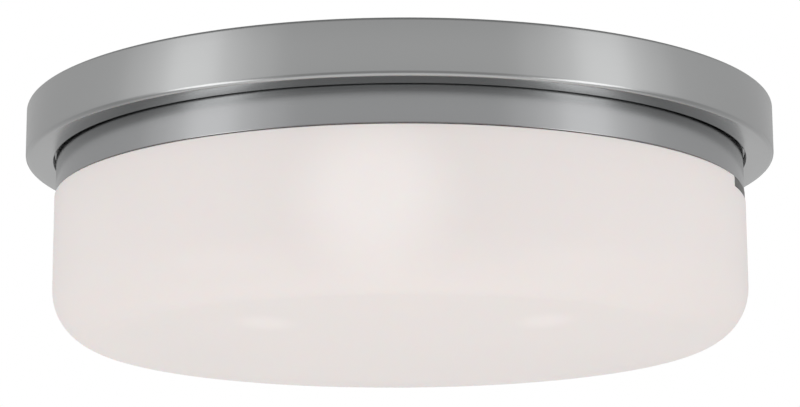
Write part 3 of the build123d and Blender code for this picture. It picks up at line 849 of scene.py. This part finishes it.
# %% Fitting
def fit(piece, finish, *stands_for, rides=True):
    """Finish a piece and let it stand for these solids, on their body."""
    piece.data.materials.clear()
    piece.data.materials.append(finish)
    if rides:
        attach(piece, body_of[stands_for[0]])
    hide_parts(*stands_for)
    size = [round(side / mm, 1) for side in piece.dimensions]
    print(f"{piece.name}: {len(piece.data.polygons)} faces, {size} mm, {finish.name}")
    return piece


def copy_of(node, name):
    """A copy of a solid of the frame, with its triangles merged into flat faces."""
    piece = bpy.data.objects.new(name, frame["nodes"][node].data.copy())
    bpy.context.collection.objects.link(piece)
    choose(piece)
    bpy.ops.mesh.customdata_custom_splitnormals_clear()
    bpy.ops.object.mode_set(mode="EDIT")
    bpy.ops.mesh.select_all(action="SELECT")
    bpy.ops.mesh.remove_doubles(threshold=1e-6)
    bpy.ops.mesh.dissolve_limited(angle_limit=radians(0.5))
    return settle(name)


def solids_of(node):
    """The lowest and highest corner of each separate solid of a node, in millimetres."""
    copy_of(node, "measured")
    bpy.ops.mesh.separate(type="LOOSE")
    boxes = []
    for solid in bpy.context.selected_objects:
        corners = [Vector(corner) / mm for corner in solid.bound_box]
        boxes.append((corners[0], corners[6]))
    bpy.ops.object.delete()
    return boxes


def centres_of(node):
    """The middle of each separate solid of a node, seen from above, in millimetres."""
    return [tuple((low + high).xy / 2) for low, high in solids_of(node)]


clip_rivet_places = centres_of("clip_rivets")
collar_rivet_places = centres_of("collar_rivets")
bracket_rivet_places = centres_of("bracket_rivets")
print(len(clip_rivet_places), len(collar_rivet_places), len(bracket_rivet_places), "rivets")

# %% [markdown]
# ## Pan
#
# The pan is spun from one sheet of steel, 1 mm thick, and plated. Its wall ends at the ceiling
# in a turned-in hem, its lower edge is rolled, and inside the rim the sheet steps up into the
# floor that carries everything. A ridge round the wire hole stiffens it. One outline of the
# visible face, given its sheet and spun, makes all of that. Two keyholes let the pan pass over
# its nuts and turn until the screws seat.

# %% Pan
pan_low, pan_high = size_of("canopy_pan")
collar_low, collar_high = size_of("glass_collar")
pan_radius, rim_under = pan_high.x, pan_low.z
collar_radius, collar_bottom = collar_high.x, collar_low.z
floor_under = collar_high.z
pan_sheet = 1.0
# The gap round the collar's top is drawn a little wide, so that its dark line shows.
seam = 1.2
step_radius = collar_radius + seam
ridge_depth = 1.4
wire_hole = 11.1
# Radii of the holes for the clips' small rivets and for all the others.
small_hole, large_hole = 1.25, 1.65

pan_line = [
    (pan_radius - 3.5, 0),
    (pan_radius, 0, 1.3),
    (pan_radius, rim_under, 2.0),
    (step_radius, rim_under, 0.4),
    (step_radius, floor_under, 0.4),
    (36, floor_under, 1.5),
    (33.2, floor_under - ridge_depth, 2.5),
    (26.8, floor_under - ridge_depth, 2.5),
    (24, floor_under, 1.5),
    (wire_hole, floor_under),
]
pan = turned("canopy_pan_spun", sheet(pan_line, 0, pan_sheet))

screw_places = centres_of("canopy_screws")
screw_circle = hypot(*screw_places[0])
keyhole_turn = 14.0
keyhole_slot = 5.0
keyhole_entry = 6.2
hole_low, hole_high = floor_under - 2, floor_under + 3
for start in (0, 180):
    turns = [radians(start), radians(start + keyhole_turn)]
    seat, entry = [(screw_circle * cos(turn), screw_circle * sin(turn)) for turn in turns]
    slot_outline = oblong(
        screw_circle - keyhole_slot / 2, screw_circle + keyhole_slot / 2, hole_low, hole_high
    )
    slot_cutter = arc_bar("slot", slot_outline, start + keyhole_turn / 2, keyhole_turn / 2, 8)
    cut(
        pan,
        pegs([seat], keyhole_slot / 2, hole_low, hole_high),
        slot_cutter,
        pegs([entry], keyhole_entry, hole_low, hole_high),
    )
cut(pan, pegs(clip_rivet_places, small_hole, hole_low, hole_high))
cut(pan, pegs(collar_rivet_places + bracket_rivet_places, large_hole, hole_low, hole_high))
fit(pan, brushed_nickel, "canopy_pan")

# %% [markdown]
# ## Collar
#
# The collar is the narrower band under the pan. It is drawn from the same sheet: a flat flange
# that is riveted under the pan's floor, a straight wall and a lower edge that is curled in, so
# that no cut edge shows above the glass.

# %% Collar
flange_inner = collar_radius - 12.5
collar_sheet = 1.0
collar_line = [
    (flange_inner, floor_under),
    (collar_radius, floor_under, 1.2),
    (collar_radius, collar_bottom, 0.5),
    (collar_radius - 2.2, collar_bottom),
]
collar = turned("glass_collar_drawn", sheet(collar_line, 0, collar_sheet))
cut(collar, pegs(clip_rivet_places, small_hole, floor_under - 3, floor_under + 1))
cut(collar, pegs(collar_rivet_places, large_hole, floor_under - 3, floor_under + 1))
# The collar's darker nickel is painted shade from the ring above.
fit(collar, shaded_nickel, "glass_collar")

# %% [markdown]
# ## Glass shade
#
# The shade is blown: a drum whose rounded lower edge runs into a shallow dome, and a narrower
# neck with a bead that the clips close under. The dome and the rounded edge are two arcs that
# touch, so there is no crease between them: the dome's radius follows from that. The outline
# runs up the outside, over the bead and down the inside. A hollow moulded in the shoulder
# leaves room for the finger tab.

# %% Glass shade
shade_low, shade_high = size_of("glass_shade")
shade_radius, shade_bottom, neck_top = shade_high.x, shade_low.z, shade_high.z
glass = 3.5
wall_end = -80.0
corner_radius = 23.0
shoulder = collar_bottom - 0.3
neck_radius = collar_radius - 7.8
bead_radius = neck_radius + 3.5
bead_under = neck_top - 4.2

corner_centre = (shade_radius - corner_radius, wall_end)
fall = wall_end - shade_bottom
dome_radius = (corner_centre[0] ** 2 + fall**2 - corner_radius**2) / (2 * (fall - corner_radius))
dome_centre = (0, shade_bottom + dome_radius)
meeting = degrees(asin(corner_centre[0] / (dome_radius - corner_radius))) - 90

outer_dome = arc(dome_centre, dome_radius, -90, meeting, 20)
outer_corner = arc(corner_centre, corner_radius, meeting, 0, 20)
inner_corner = arc(corner_centre, corner_radius - glass, 0, meeting, 20)
inner_dome = arc(dome_centre, dome_radius - glass, meeting, -90, 20)
bead_round = 1.9
neck_line = [
    (shade_radius, wall_end),
    (shade_radius, shoulder - 8),
    (shade_radius, shoulder - 5.5),
    (shade_radius, shoulder, 0.4),
    (neck_radius, shoulder, 1.5),
    (neck_radius, bead_under, 0.5),
    (bead_radius, bead_under, bead_round),
    (bead_radius, neck_top, bead_round),
    (neck_radius - glass, neck_top, 1.2),
    (neck_radius - glass, shoulder - glass, 1.5),
    (shade_radius - glass, shoulder - glass, 2.5),
    (shade_radius - glass, wall_end),
]
outside = outer_dome[:-1] + outer_corner
inside = inner_corner + inner_dome[1:]
shade = turned("glass_shade_blown", outside + rounded(neck_line)[1:-1] + inside, ring=False)

# The tab's hollow spans an arc a little longer than the tab, and the tail's a little wider.
tab_angle = -12.0
hollow_inner, hollow_half_angle, tail_hollow_width = 150.4, 9.764, 15.4
hollow_top = shoulder + 2
hollow_outline = oblong(hollow_inner, hollow_inner + glass, shoulder - 4.5, hollow_top)
tail_outline = oblong(neck_radius + 1, shade_radius + 1, shoulder - 1.8, hollow_top)
cut(
    shade,
    soften(arc_bar("tab_hollow", hollow_outline, tab_angle, hollow_half_angle, 12), 0.5),
    soften(bar("tail_hollow", tail_outline, tail_hollow_width, tab_angle), 0.5),
)
fit(shade, opal_glass, "glass_shade")

# %% [markdown]
# ## Spring clips and finger tab
#
# Three clips are stamped from spring strip: a foot riveted under the collar's flange, a leaf
# that runs down outside the bead, a nip that closes under it and a lead-in that lets the glass
# pass when it is pushed up. The first clip ends in a tail that passes under the collar to a
# finger tab. Each is its middle line given a sheet and pulled out to the strip's width.

# %% Spring clips and finger tab
clip_sheet = 0.6
clip_width = 14.0
# Where a foot's middle lies, and how far from it its rivets can be.
foot_out, foot_reach = 143.0, 9.0
foot_height = floor_under - collar_sheet - clip_sheet / 2
leaf_out = bead_radius + 0.6
nip_out = bead_radius - 1.6
nip_height = bead_under - 1.6
tail_height = collar_bottom - 0.7
tail_out = 150.9
clip_line = [
    (flange_inner, foot_height),
    (leaf_out, foot_height, 1.0),
    (leaf_out, neck_top - 2.94, 1.0),
    (nip_out, nip_height, 1.0),
]
plain_end = [(nip_out + 1.8, nip_height - 3.4)]
tail_end = [(nip_out + 1.8, tail_height, 1.0), (tail_out, tail_height)]

clips = []
for number, angle in enumerate((tab_angle, tab_angle + 120, tab_angle + 240), start=1):
    ending = tail_end if number == 1 else plain_end
    outline = sheet(clip_line + ending, clip_sheet / 2, clip_sheet / 2)
    clip = bar(f"shade_clip_{number}_stamped", outline, clip_width, angle)
    foot = Vector((cos(radians(angle)), sin(radians(angle)))) * foot_out
    own = [spot for spot in clip_rivet_places if (Vector(spot) - foot).length < foot_reach]
    cut(clip, pegs(own, small_hole, floor_under - 3, floor_under))
    soften(clip, 0.12, 2)
    clips.append(clip)

tab_sheet, tab_half_angle = 0.8, 9.5
tab_low, tab_height = collar_bottom - 4.1, 3.6
tab_outer = collar_radius + 0.2
tab_outline = oblong(tab_outer - tab_sheet, tab_outer, tab_low, tab_low + tab_height)
lug_top = tail_height - clip_sheet / 2
lug_outline = oblong(nip_out + 2.4, tab_outer - tab_sheet / 2, lug_top - tab_sheet, lug_top)
tab = arc_bar("release_tab_stamped", tab_outline, tab_angle, tab_half_angle, 24)
cut(tab, bar("lug", lug_outline, clip_width, tab_angle), keep="UNION")
soften(tab, 0.2, 3)
fit(tab, spring_steel, "release_tab")

# %% [markdown]
# The first clip belongs to two bodies: its foot stays on the collar, and its tail goes out with
# the finger tab, so the real clip bends between the two. Here it is cut across at several heights
# and rides on neither body.

# %% The clip that bends
choose(clips[0])
bpy.ops.object.mode_set(mode="EDIT")
for height in range(-37, -21, 2):
    bpy.ops.mesh.select_all(action="SELECT")
    bpy.ops.mesh.bisect(plane_co=(0, 0, height * mm), plane_no=(0, 0, 1), threshold=1e-7)
bpy.ops.object.mode_set(mode="OBJECT")
fit(clips[0], spring_steel, "shade_clip_1", rides=False)
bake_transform(clips[0])
for number in (2, 3):
    fit(clips[number - 1], spring_steel, f"shade_clip_{number}")

# %% [markdown]
# ## Cushions
#
# Three strips of silicone foam under the collar's flange keep the glass from rattling. Foam that
# is cut and glued stays flat where it is stuck, draws in at its sides and swells at its free
# face. That is the outline here, swept along the rim, with its ends rounded off.

# %% Cushions
cushion_low, cushion_high = size_of("rim_cushions")
cushion_outer = bead_radius - 0.3
cushion_inner = cushion_outer - 6.0
cushion_middle = (cushion_low.z + cushion_high.z) / 2
cushion_half_angle = 32
cushion_line = [
    (cushion_inner, cushion_high.z, 0.5),
    (cushion_inner + 0.35, cushion_middle + 0.6, 6),
    (cushion_inner, cushion_low.z + 0.7, 1.6),
    (cushion_inner + 3.0, cushion_low.z, 4),
    (cushion_outer, cushion_low.z + 0.7, 1.6),
    (cushion_outer - 0.35, cushion_middle + 0.6, 6),
    (cushion_outer, cushion_high.z, 0.5),
]
strips = []
for turn in (60, 180, 300):
    middle = tab_angle + turn
    strip = arc_bar("cushion", rounded(cushion_line), middle, cushion_half_angle, 64)
    strips.append(soften(strip, 1.4, 5, 60))
cushions = joined("rim_cushions_foam", *strips)
fit(cushions, silicone_foam, "rim_cushions")

# %% [markdown]
# ## Insulation
#
# The mat is cut from loose glass fibre felt, so it is thick in the middle, thin at its edges and
# lumpy all over. A crowned ring is turned first, and a displace modifier with a cloud texture
# presses it in here and there. It only ever presses inwards, so the mat keeps to its space.
# Pockets clear the rivets that stand up from the floor.

# %% Insulation
mat_low, mat_high = size_of("insulation_pad")
mat_inner, mat_outer = 68.0, mat_high.x
mat_middle = (mat_inner + mat_outer) / 2
crown = 3.0
crown_radius, crown_angle = dome((mat_outer - mat_inner) / 2 - 3, crown)
crown_centre = (mat_middle, mat_high.z - crown_radius)
top = arc(crown_centre, crown_radius, 90 + crown_angle, 90 - crown_angle, 30)
side_round, side_height = 4.2, (mat_high.z - crown + mat_low.z) / 2
outer_side = arc((mat_outer - side_round, side_height), side_round, 60, -60, 6)
inner_side = arc((mat_inner + side_round, side_height), side_round, 240, 120, 6)
base_steps = 16
base_step = (mat_outer - mat_inner - 2) / base_steps
base = [Vector((mat_outer - 1 - step * base_step, mat_low.z)) for step in range(base_steps + 1)]
mat = turned("insulation_felt", top + outer_side + base + inner_side)
# Lumps are 14 mm across and up to 1.6 mm deep.
lumps = bpy.data.textures.new("felt_lumps", "CLOUDS")
lumps.noise_scale = 14 * mm
lumps.noise_depth = 3
apply_modifier(
    mat,
    "DISPLACE",
    texture=lumps,
    strength=1.6 * mm,
    mid_level=1.0,
    texture_coords="LOCAL",
)
pocket_radius, pocket_depth = 4.5, 1.4
pockets = pegs(bracket_rivet_places, pocket_radius, mat_low.z - 1, mat_low.z + pocket_depth)
cut(mat, pockets)
fit(mat, glass_fibre, "insulation_pad")

# %% [markdown]
# ## Rivets
#
# A rivet is a pin with a domed head on one side. The other end is hammered over the stack of
# sheets into a flatter head. One of each size is turned and copied to every place where the
# frame has one.


# %% Rivets
def rivet(shank, head, under, stack, height=0.8):
    """A rivet round the axis: its dome lies under the stack and its closed end on top."""
    radius, spread = dome(head, height - 0.2)
    head_line = arc((0, under - height + radius), radius, -90, -90 + spread, 6)
    over = under + stack
    closed_line = [
        (head, under),
        (shank, under),
        (shank, over),
        (head, over, 0.1),
        (head, over + height, 0.35),
        (0, over + height),
    ]
    return turned("rivet", head_line + rounded(closed_line, 3), steps=32, ring=False)


# Radius of the shank and of the head, underside and height of the stack of sheets, places.
rivet_sorts = {
    "clip_rivets": (1.2, 2.0, floor_under - 1.6, 2.6, clip_rivet_places),
    "collar_rivets": (1.6, 3.0, floor_under - 1.0, 2.0, collar_rivet_places),
    "bracket_rivets": (1.6, 3.0, floor_under - 1.2, 2.2, bracket_rivet_places),
}
for node, (shank, head, under, stack, places) in rivet_sorts.items():
    one = rivet(shank, head, under, stack)
    fit(repeat(f"{node}_closed", one, [at(x, y) for x, y in places]), zinc_plate, node)

# %% [markdown]
# ## Threads
#
# A thread is one profile, a pitch tall, carried round the axis and up by a pitch each turn, which
# is what the screw modifier does. The skin is then cut level at both ends and its open edges are
# carried on, ring by ring, into a plain end. Threads that run in each other are drawn from the
# same height, so that they mesh at every turn.


# %% Threads
thread_steps = 32


def carry_on(rings):
    """Extrude the selected round edge from ring to ring, given as (radius, height)."""
    for radius, height in rings:
        bpy.ops.mesh.extrude_edges_move()
        bpy.ops.object.mode_set(mode="OBJECT")
        for vertex in bpy.context.object.data.vertices:
            if vertex.select:
                flat = vertex.co.xy.normalized() * radius * mm
                vertex.co = (flat.x, flat.y, height * mm)
        bpy.ops.object.mode_set(mode="EDIT")


def threaded(name, wave, pitch, low, high, below, above, steps=thread_steps):
    """A right-hand thread between two heights, carried on by rings below and above."""
    start = (floor(low / pitch) - 1) * pitch
    draw([(out, start + share * pitch) for out, share in wave])
    bpy.ops.object.mode_set(mode="OBJECT")
    apply_modifier(
        bpy.context.object,
        "SCREW",
        axis="Z",
        angle=2 * pi,
        screw_offset=pitch * mm,
        iterations=ceil((high - start) / pitch) + 1,
        steps=steps,
        render_steps=steps,
        use_merge_vertices=True,
        merge_threshold=1e-6,
        use_normal_calculate=True,
    )
    bpy.ops.object.mode_set(mode="EDIT")
    for height, rings, at_top in ((low, below, False), (high, above, True)):
        bpy.ops.mesh.select_all(action="SELECT")
        bpy.ops.mesh.remove_doubles(threshold=1e-6)
        bpy.ops.mesh.bisect(
            plane_co=(0, 0, height * mm),
            plane_no=(0, 0, 1),
            clear_outer=at_top,
            clear_inner=not at_top,
            threshold=1e-7,
        )
        carry_on(rings)
    return settle(name)


def slotted_head(name, radius, height, shank=0.0, length=0.0, slot=1.0):
    """A screw head that stands on the origin, with a slot, and a plain shank below."""
    line = rounded([(0, height), (radius, height, height * 0.55), (radius, 0, 0.15)], 4)
    if shank:
        line += rounded([(shank, 0), (shank, -length, 0.3), (0, -length)], 3)
    else:
        line += [(0, 0)]
    head = turned(name, line, steps=40, ring=False)
    slot_line = oblong(-radius - 1, radius + 1, height * 0.5, height + 1)
    return soften(cut(head, bar("slot", slot_line, slot)), 0.08, 2)


print("a thread is drawn in", thread_steps, "steps a turn")

# %% [markdown]
# ## Crossbar and screws
#
# A steel crossbar is screwed to the outlet box over the light. It is stamped, with its slots and
# tapped holes, and its shape in the frame is already right. Two long screws with slotted heads
# hang from it. Their thread is a plain V with small flats at its crest and root.

# %% Crossbar and screws
crossbar = soften(copy_of("crossbar", "crossbar_stamped"), 0.3)
fit(crossbar, zinc_plate, "crossbar")

screw_low, screw_high = solids_of("canopy_screws")[0]
screw_spots = [at(x, y) for x, y in screw_places]
head_height = 2.4
head_under = screw_high.z - head_height
screw_crest, screw_root, screw_pitch = 2.05, 1.72, 0.794
v_thread = [
    (screw_root, 0),
    (screw_root, 0.12),
    (screw_crest, 0.47),
    (screw_crest, 0.53),
    (screw_root, 0.88),
    (screw_root, 1),
]
shaft = threaded(
    "shaft",
    v_thread,
    screw_pitch,
    screw_low.z + 0.4,
    head_under - 0.4,
    [(1.5, screw_low.z), (0, screw_low.z)],
    [(1.9, head_under), (0, head_under)],
)
head = set_in(slotted_head("head", 4.0, head_height, slot=1.2), at(0, 0, head_under))
long_screw = joined("long_screw", shaft, head)
fit(repeat("canopy_screws_threaded", long_screw, screw_spots), zinc_plate, "canopy_screws")

# %% [markdown]
# ## Nuts, washers and earth screw
#
# Under the pan a washer and a nut on each long screw pull the pan up to the ceiling. The green
# screw takes the earth wire. Nuts and screw heads are cut from hexagonal bar on a lathe, which
# chamfers their corners: the hexagon keeps only what lies inside a turned disc.


# %% Nuts, washers and earth screw
def hexagon(name, corner, chamfer, low, high):
    """A hexagonal block with turned chamfers, from the radius to its corners."""
    bpy.ops.object.select_all(action="DESELECT")
    bpy.ops.mesh.primitive_cylinder_add(
        vertices=6,
        radius=corner * mm,
        depth=(high - low) * mm,
        location=(0, 0, (low + high) / 2 * mm),
    )
    bpy.ops.object.mode_set(mode="EDIT")
    block = settle(name)
    outer, slope = corner + 0.05, chamfer * 0.58
    disc_line = [
        (0, low),
        (corner - chamfer, low),
        (outer, low + slope),
        (outer, high - slope),
        (corner - chamfer, high),
        (0, high),
    ]
    return cut(block, turned("disc", disc_line, steps=96, ring=False), keep="INTERSECT")


nut_low, nut_high = solids_of("canopy_nuts")[0]
across_flats, nut_hole = 8.7, 2.1
nut = hexagon("nut", across_flats / sqrt(3), 0.75, nut_low.z, nut_high.z)
cut(nut, pegs([(0, 0)], nut_hole, nut_low.z - 1, nut_high.z + 1))
fit(repeat("canopy_nuts_hexagonal", nut, screw_spots), zinc_plate, "canopy_nuts")

washer_line = [
    (2.15, nut_high.z, 0.15),
    (5.6, nut_high.z, 0.2),
    (5.6, floor_under, 0.15),
    (2.15, floor_under, 0.15),
]
washer = turned("washer", rounded(washer_line, 3), steps=64)
fit(repeat("canopy_washers_stamped", washer, screw_spots), zinc_plate, "canopy_washers")

ground_low, ground_high = size_of("ground_screw")
ground_seat = -2.0
ground_head = hexagon("ground_head", 4.5, 0.5, ground_low.z, ground_seat)
ground_slot = oblong(-6, 6, ground_low.z - 1, ground_low.z + 1.2)
cut(ground_head, bar("slot", ground_slot, 1.1))
shank_line = [(0, ground_seat), (2.4, ground_seat), (2.4, -0.3), (2.1, 0), (0, 0)]
ground_shank = turned("shank", shank_line, steps=40, ring=False)
ground = joined("ground_screw_green", ground_head, ground_shank)
set_in(ground, at((ground_low.x + ground_high.x) / 2, 0))
fit(ground, green_zinc, "ground_screw")

# %% [markdown]
# ## Wire bushing
#
# The supply wires pass the pan through a ring of moulded nylon that snaps into the hole. Its lip
# is round inside, so that it can't cut the wires, and its barb above the sheet is sloped.

# %% Wire bushing
bushing_low, bushing_high = size_of("wire_bushing")
# Radii of the way through, the lip under the sheet, the neck in the hole and the barb.
wire_way, lip, in_hole, barb = 8.0, 13.5, 11.0, 12.2
floor_over = floor_under + pan_sheet
bushing_line = [
    (wire_way, bushing_low.z, 0.9),
    (lip, bushing_low.z, 0.5),
    (lip, floor_under, 0.2),
    (in_hole, floor_under),
    (in_hole, floor_over),
    (barb, floor_over, 0.3),
    (in_hole, bushing_high.z, 0.4),
    (wire_way, bushing_high.z, 0.6),
]
bushing = turned("wire_bushing_moulded", rounded(bushing_line), steps=96)
fit(bushing, black_nylon, "wire_bushing")

# %% [markdown]
# ## Lamp glass
#
# A lamp is modelled once, standing on its contact, and copied to its three places. The globe is
# blown glass: neck, swelling curve and sphere run into each other without a corner, so the
# curve's centre is worked out from the other two. The same line, set in by the glass's thickness,
# is the inside.

# %% Lamp glass
neck, neck_end, wall = 12.3, 29.0, 0.8
globe_height = lamp_length - globe_radius


def bulb_line(inset):
    """The glass from its neck to its tip, set in by a distance."""
    globe, narrow, rise = globe_radius - inset, neck - inset, globe_height - neck_end
    waist = (narrow**2 + rise**2 - globe**2) / (2 * (globe - narrow))
    turn = degrees(asin(rise / hypot(narrow + waist, rise)))
    swell = arc((narrow + waist, neck_end), waist, 180, 180 - turn, 16)
    return swell + arc((0, globe_height), globe, -turn, 90, 28)[1:]


throat = [(neck - 1.4, 18), (neck - 1.4, 21.4), (neck, 23.2)]
throat_inside = [(out - wall, height) for out, height in throat]
bulb_outline = bulb_line(wall)[::-1] + throat_inside[::-1] + throat + bulb_line(0)
bulb = turned("bulb", bulb_outline, 96, ring=False)
print("the glass is drawn with", len(bulb_outline), "points")

# %% [markdown]
# ## Lamp base
#
# The base is rolled from thin aluminium, so its thread is a soft wave and shows inside and out:
# the skin is drawn once and gets its thickness afterwards. Black glass closes its end and
# carries a drop of solder, the contact.

# %% Lamp base
lamp_pitch = 3.6286
crest, root = 13.0, 12.2
middle, swing = (crest + root) / 2, (crest - root) / 2
shares = [step / 8 for step in range(9)]
base_wave = [(middle - swing * cos(2 * pi * share), share) for share in shares]
lamp_base = threaded(
    "lamp_base",
    base_wave,
    lamp_pitch,
    7.4,
    21.0,
    [(12.3, 6.4), (8.4, 3.92), (8.2, 3.8)],
    [(12.9, 22.0), (13.0, 22.6), (13.0, 25.2), (12.8, 25.5)],
    steps=72,
)
apply_modifier(lamp_base, "SOLIDIFY", thickness=0.4 * mm, offset=-1)
bpy.ops.object.shade_smooth_by_angle(angle=smooth_under)

insulator_line = [(0, 0.8), (4.8, 0.8, 0.3), (8.0, 3.4, 0.4), (8.0, 5.2), (0, 5.2)]
insulator = turned("insulator", rounded(insulator_line), 64, ring=False)
contact_rise = 0.8
drop_radius, drop_angle = dome(3.8, contact_rise)
drop = arc((0, drop_radius), drop_radius, -90, drop_angle - 90, 8)
contact = turned("contact", drop + [(0, contact_rise)], 48, ring=False)


def fit_in_lamps(parts, owner, ending):
    """Copy each part to the places of the three lamps, and fit it there."""
    for part, (piece, finish) in parts.items():
        for number, place in lamp_places.items():
            copy = piece.copy()
            copy.data = piece.data.copy()
            bpy.context.collection.objects.link(copy)
            copy.name = f"{owner}_{number}_{part}_{ending}"
            fit(set_in(copy, place), finish, f"{owner}_{number}_{part}")
        bpy.data.objects.remove(piece)


lamp_parts = {
    "glass": (bulb, frosted_glass),
    "base": (lamp_base, rolled_aluminium),
    "insulator": (insulator, black_glass),
    "contact": (contact, solder),
}
fit_in_lamps(lamp_parts, "bulb", "turned")

# %% [markdown]
# ## Lampholders
#
# The body of a lampholder is pressed porcelain, so its edges are round and thick with glaze. In it
# sits a brass shell with the same thread as the lamp's base, 0.3 mm wider, and a bent tongue that
# presses on the contact. Slotted brass screws at its sides hold the wires, and two screws hold it
# to its bracket, which is bent from plated strip and tips the lamp a little down.

# %% Lampholders
clearance = 0.3
shell_wave = [(out + clearance, share) for out, share in base_wave]
plain = crest + clearance
shell = threaded(
    "shell",
    shell_wave,
    lamp_pitch,
    2.2,
    18.4,
    [(plain, 1.4), (plain, -1.3), (plain - 0.3, -1.6), (plain - 3.0, -1.6)],
    [(plain, 19.0), (plain, 20.0)],
    steps=72,
)
apply_modifier(shell, "SOLIDIFY", thickness=0.4 * mm, offset=1)
bpy.ops.object.shade_smooth_by_angle(angle=smooth_under)

tongue_line = [(8.8, -1.8), (4.0, -1.8, 0.4), (1.5, -0.3, 0.4), (-3.0, -0.3)]
tongue = soften(bar("tongue", sheet(tongue_line, 0.2, 0.2), 5.0), 0.08, 2)

terminal_out, terminal_height = 17.8, -7.5
outwards = [
    at(side * terminal_out, 0, terminal_height) @ Matrix.Rotation(radians(90 * side), 4, "Y")
    for side in (-1, 1)
]
terminals = repeat("terminals", slotted_head("terminal", 2.8, 1.6, 1.5, 4.0, 0.9), outwards)

screw_out, screw_seat = 9.0, -13.2
upside_down = Matrix.Rotation(pi, 4, "X")
backwards = [at(side * screw_out, 0, screw_seat) @ upside_down for side in (-1, 1)]
holder_screw = slotted_head("holder_screw", 3.0, 1.8, 1.6, 8.2, 1.0)
holder_screws = repeat("holder_screws", holder_screw, backwards)

holder_parts = {
    "shell": (shell, rolled_brass),
    "tongue": (tongue, rolled_brass),
    "terminals": (terminals, rolled_brass),
    "screws": (holder_screws, zinc_plate),
}
fit_in_lamps(holder_parts, "lampholder", "made")

for number in lamp_numbers:
    body_node = f"lampholder_{number}_body"
    body = soften(copy_of(body_node, f"{body_node}_glazed"), 0.7, 4)
    fit(body, porcelain, body_node)
    bracket_node = f"lampholder_{number}_bracket"
    bracket = soften(copy_of(bracket_node, f"{bracket_node}_bent"), 0.2)
    fit(bracket, zinc_plate, bracket_node)
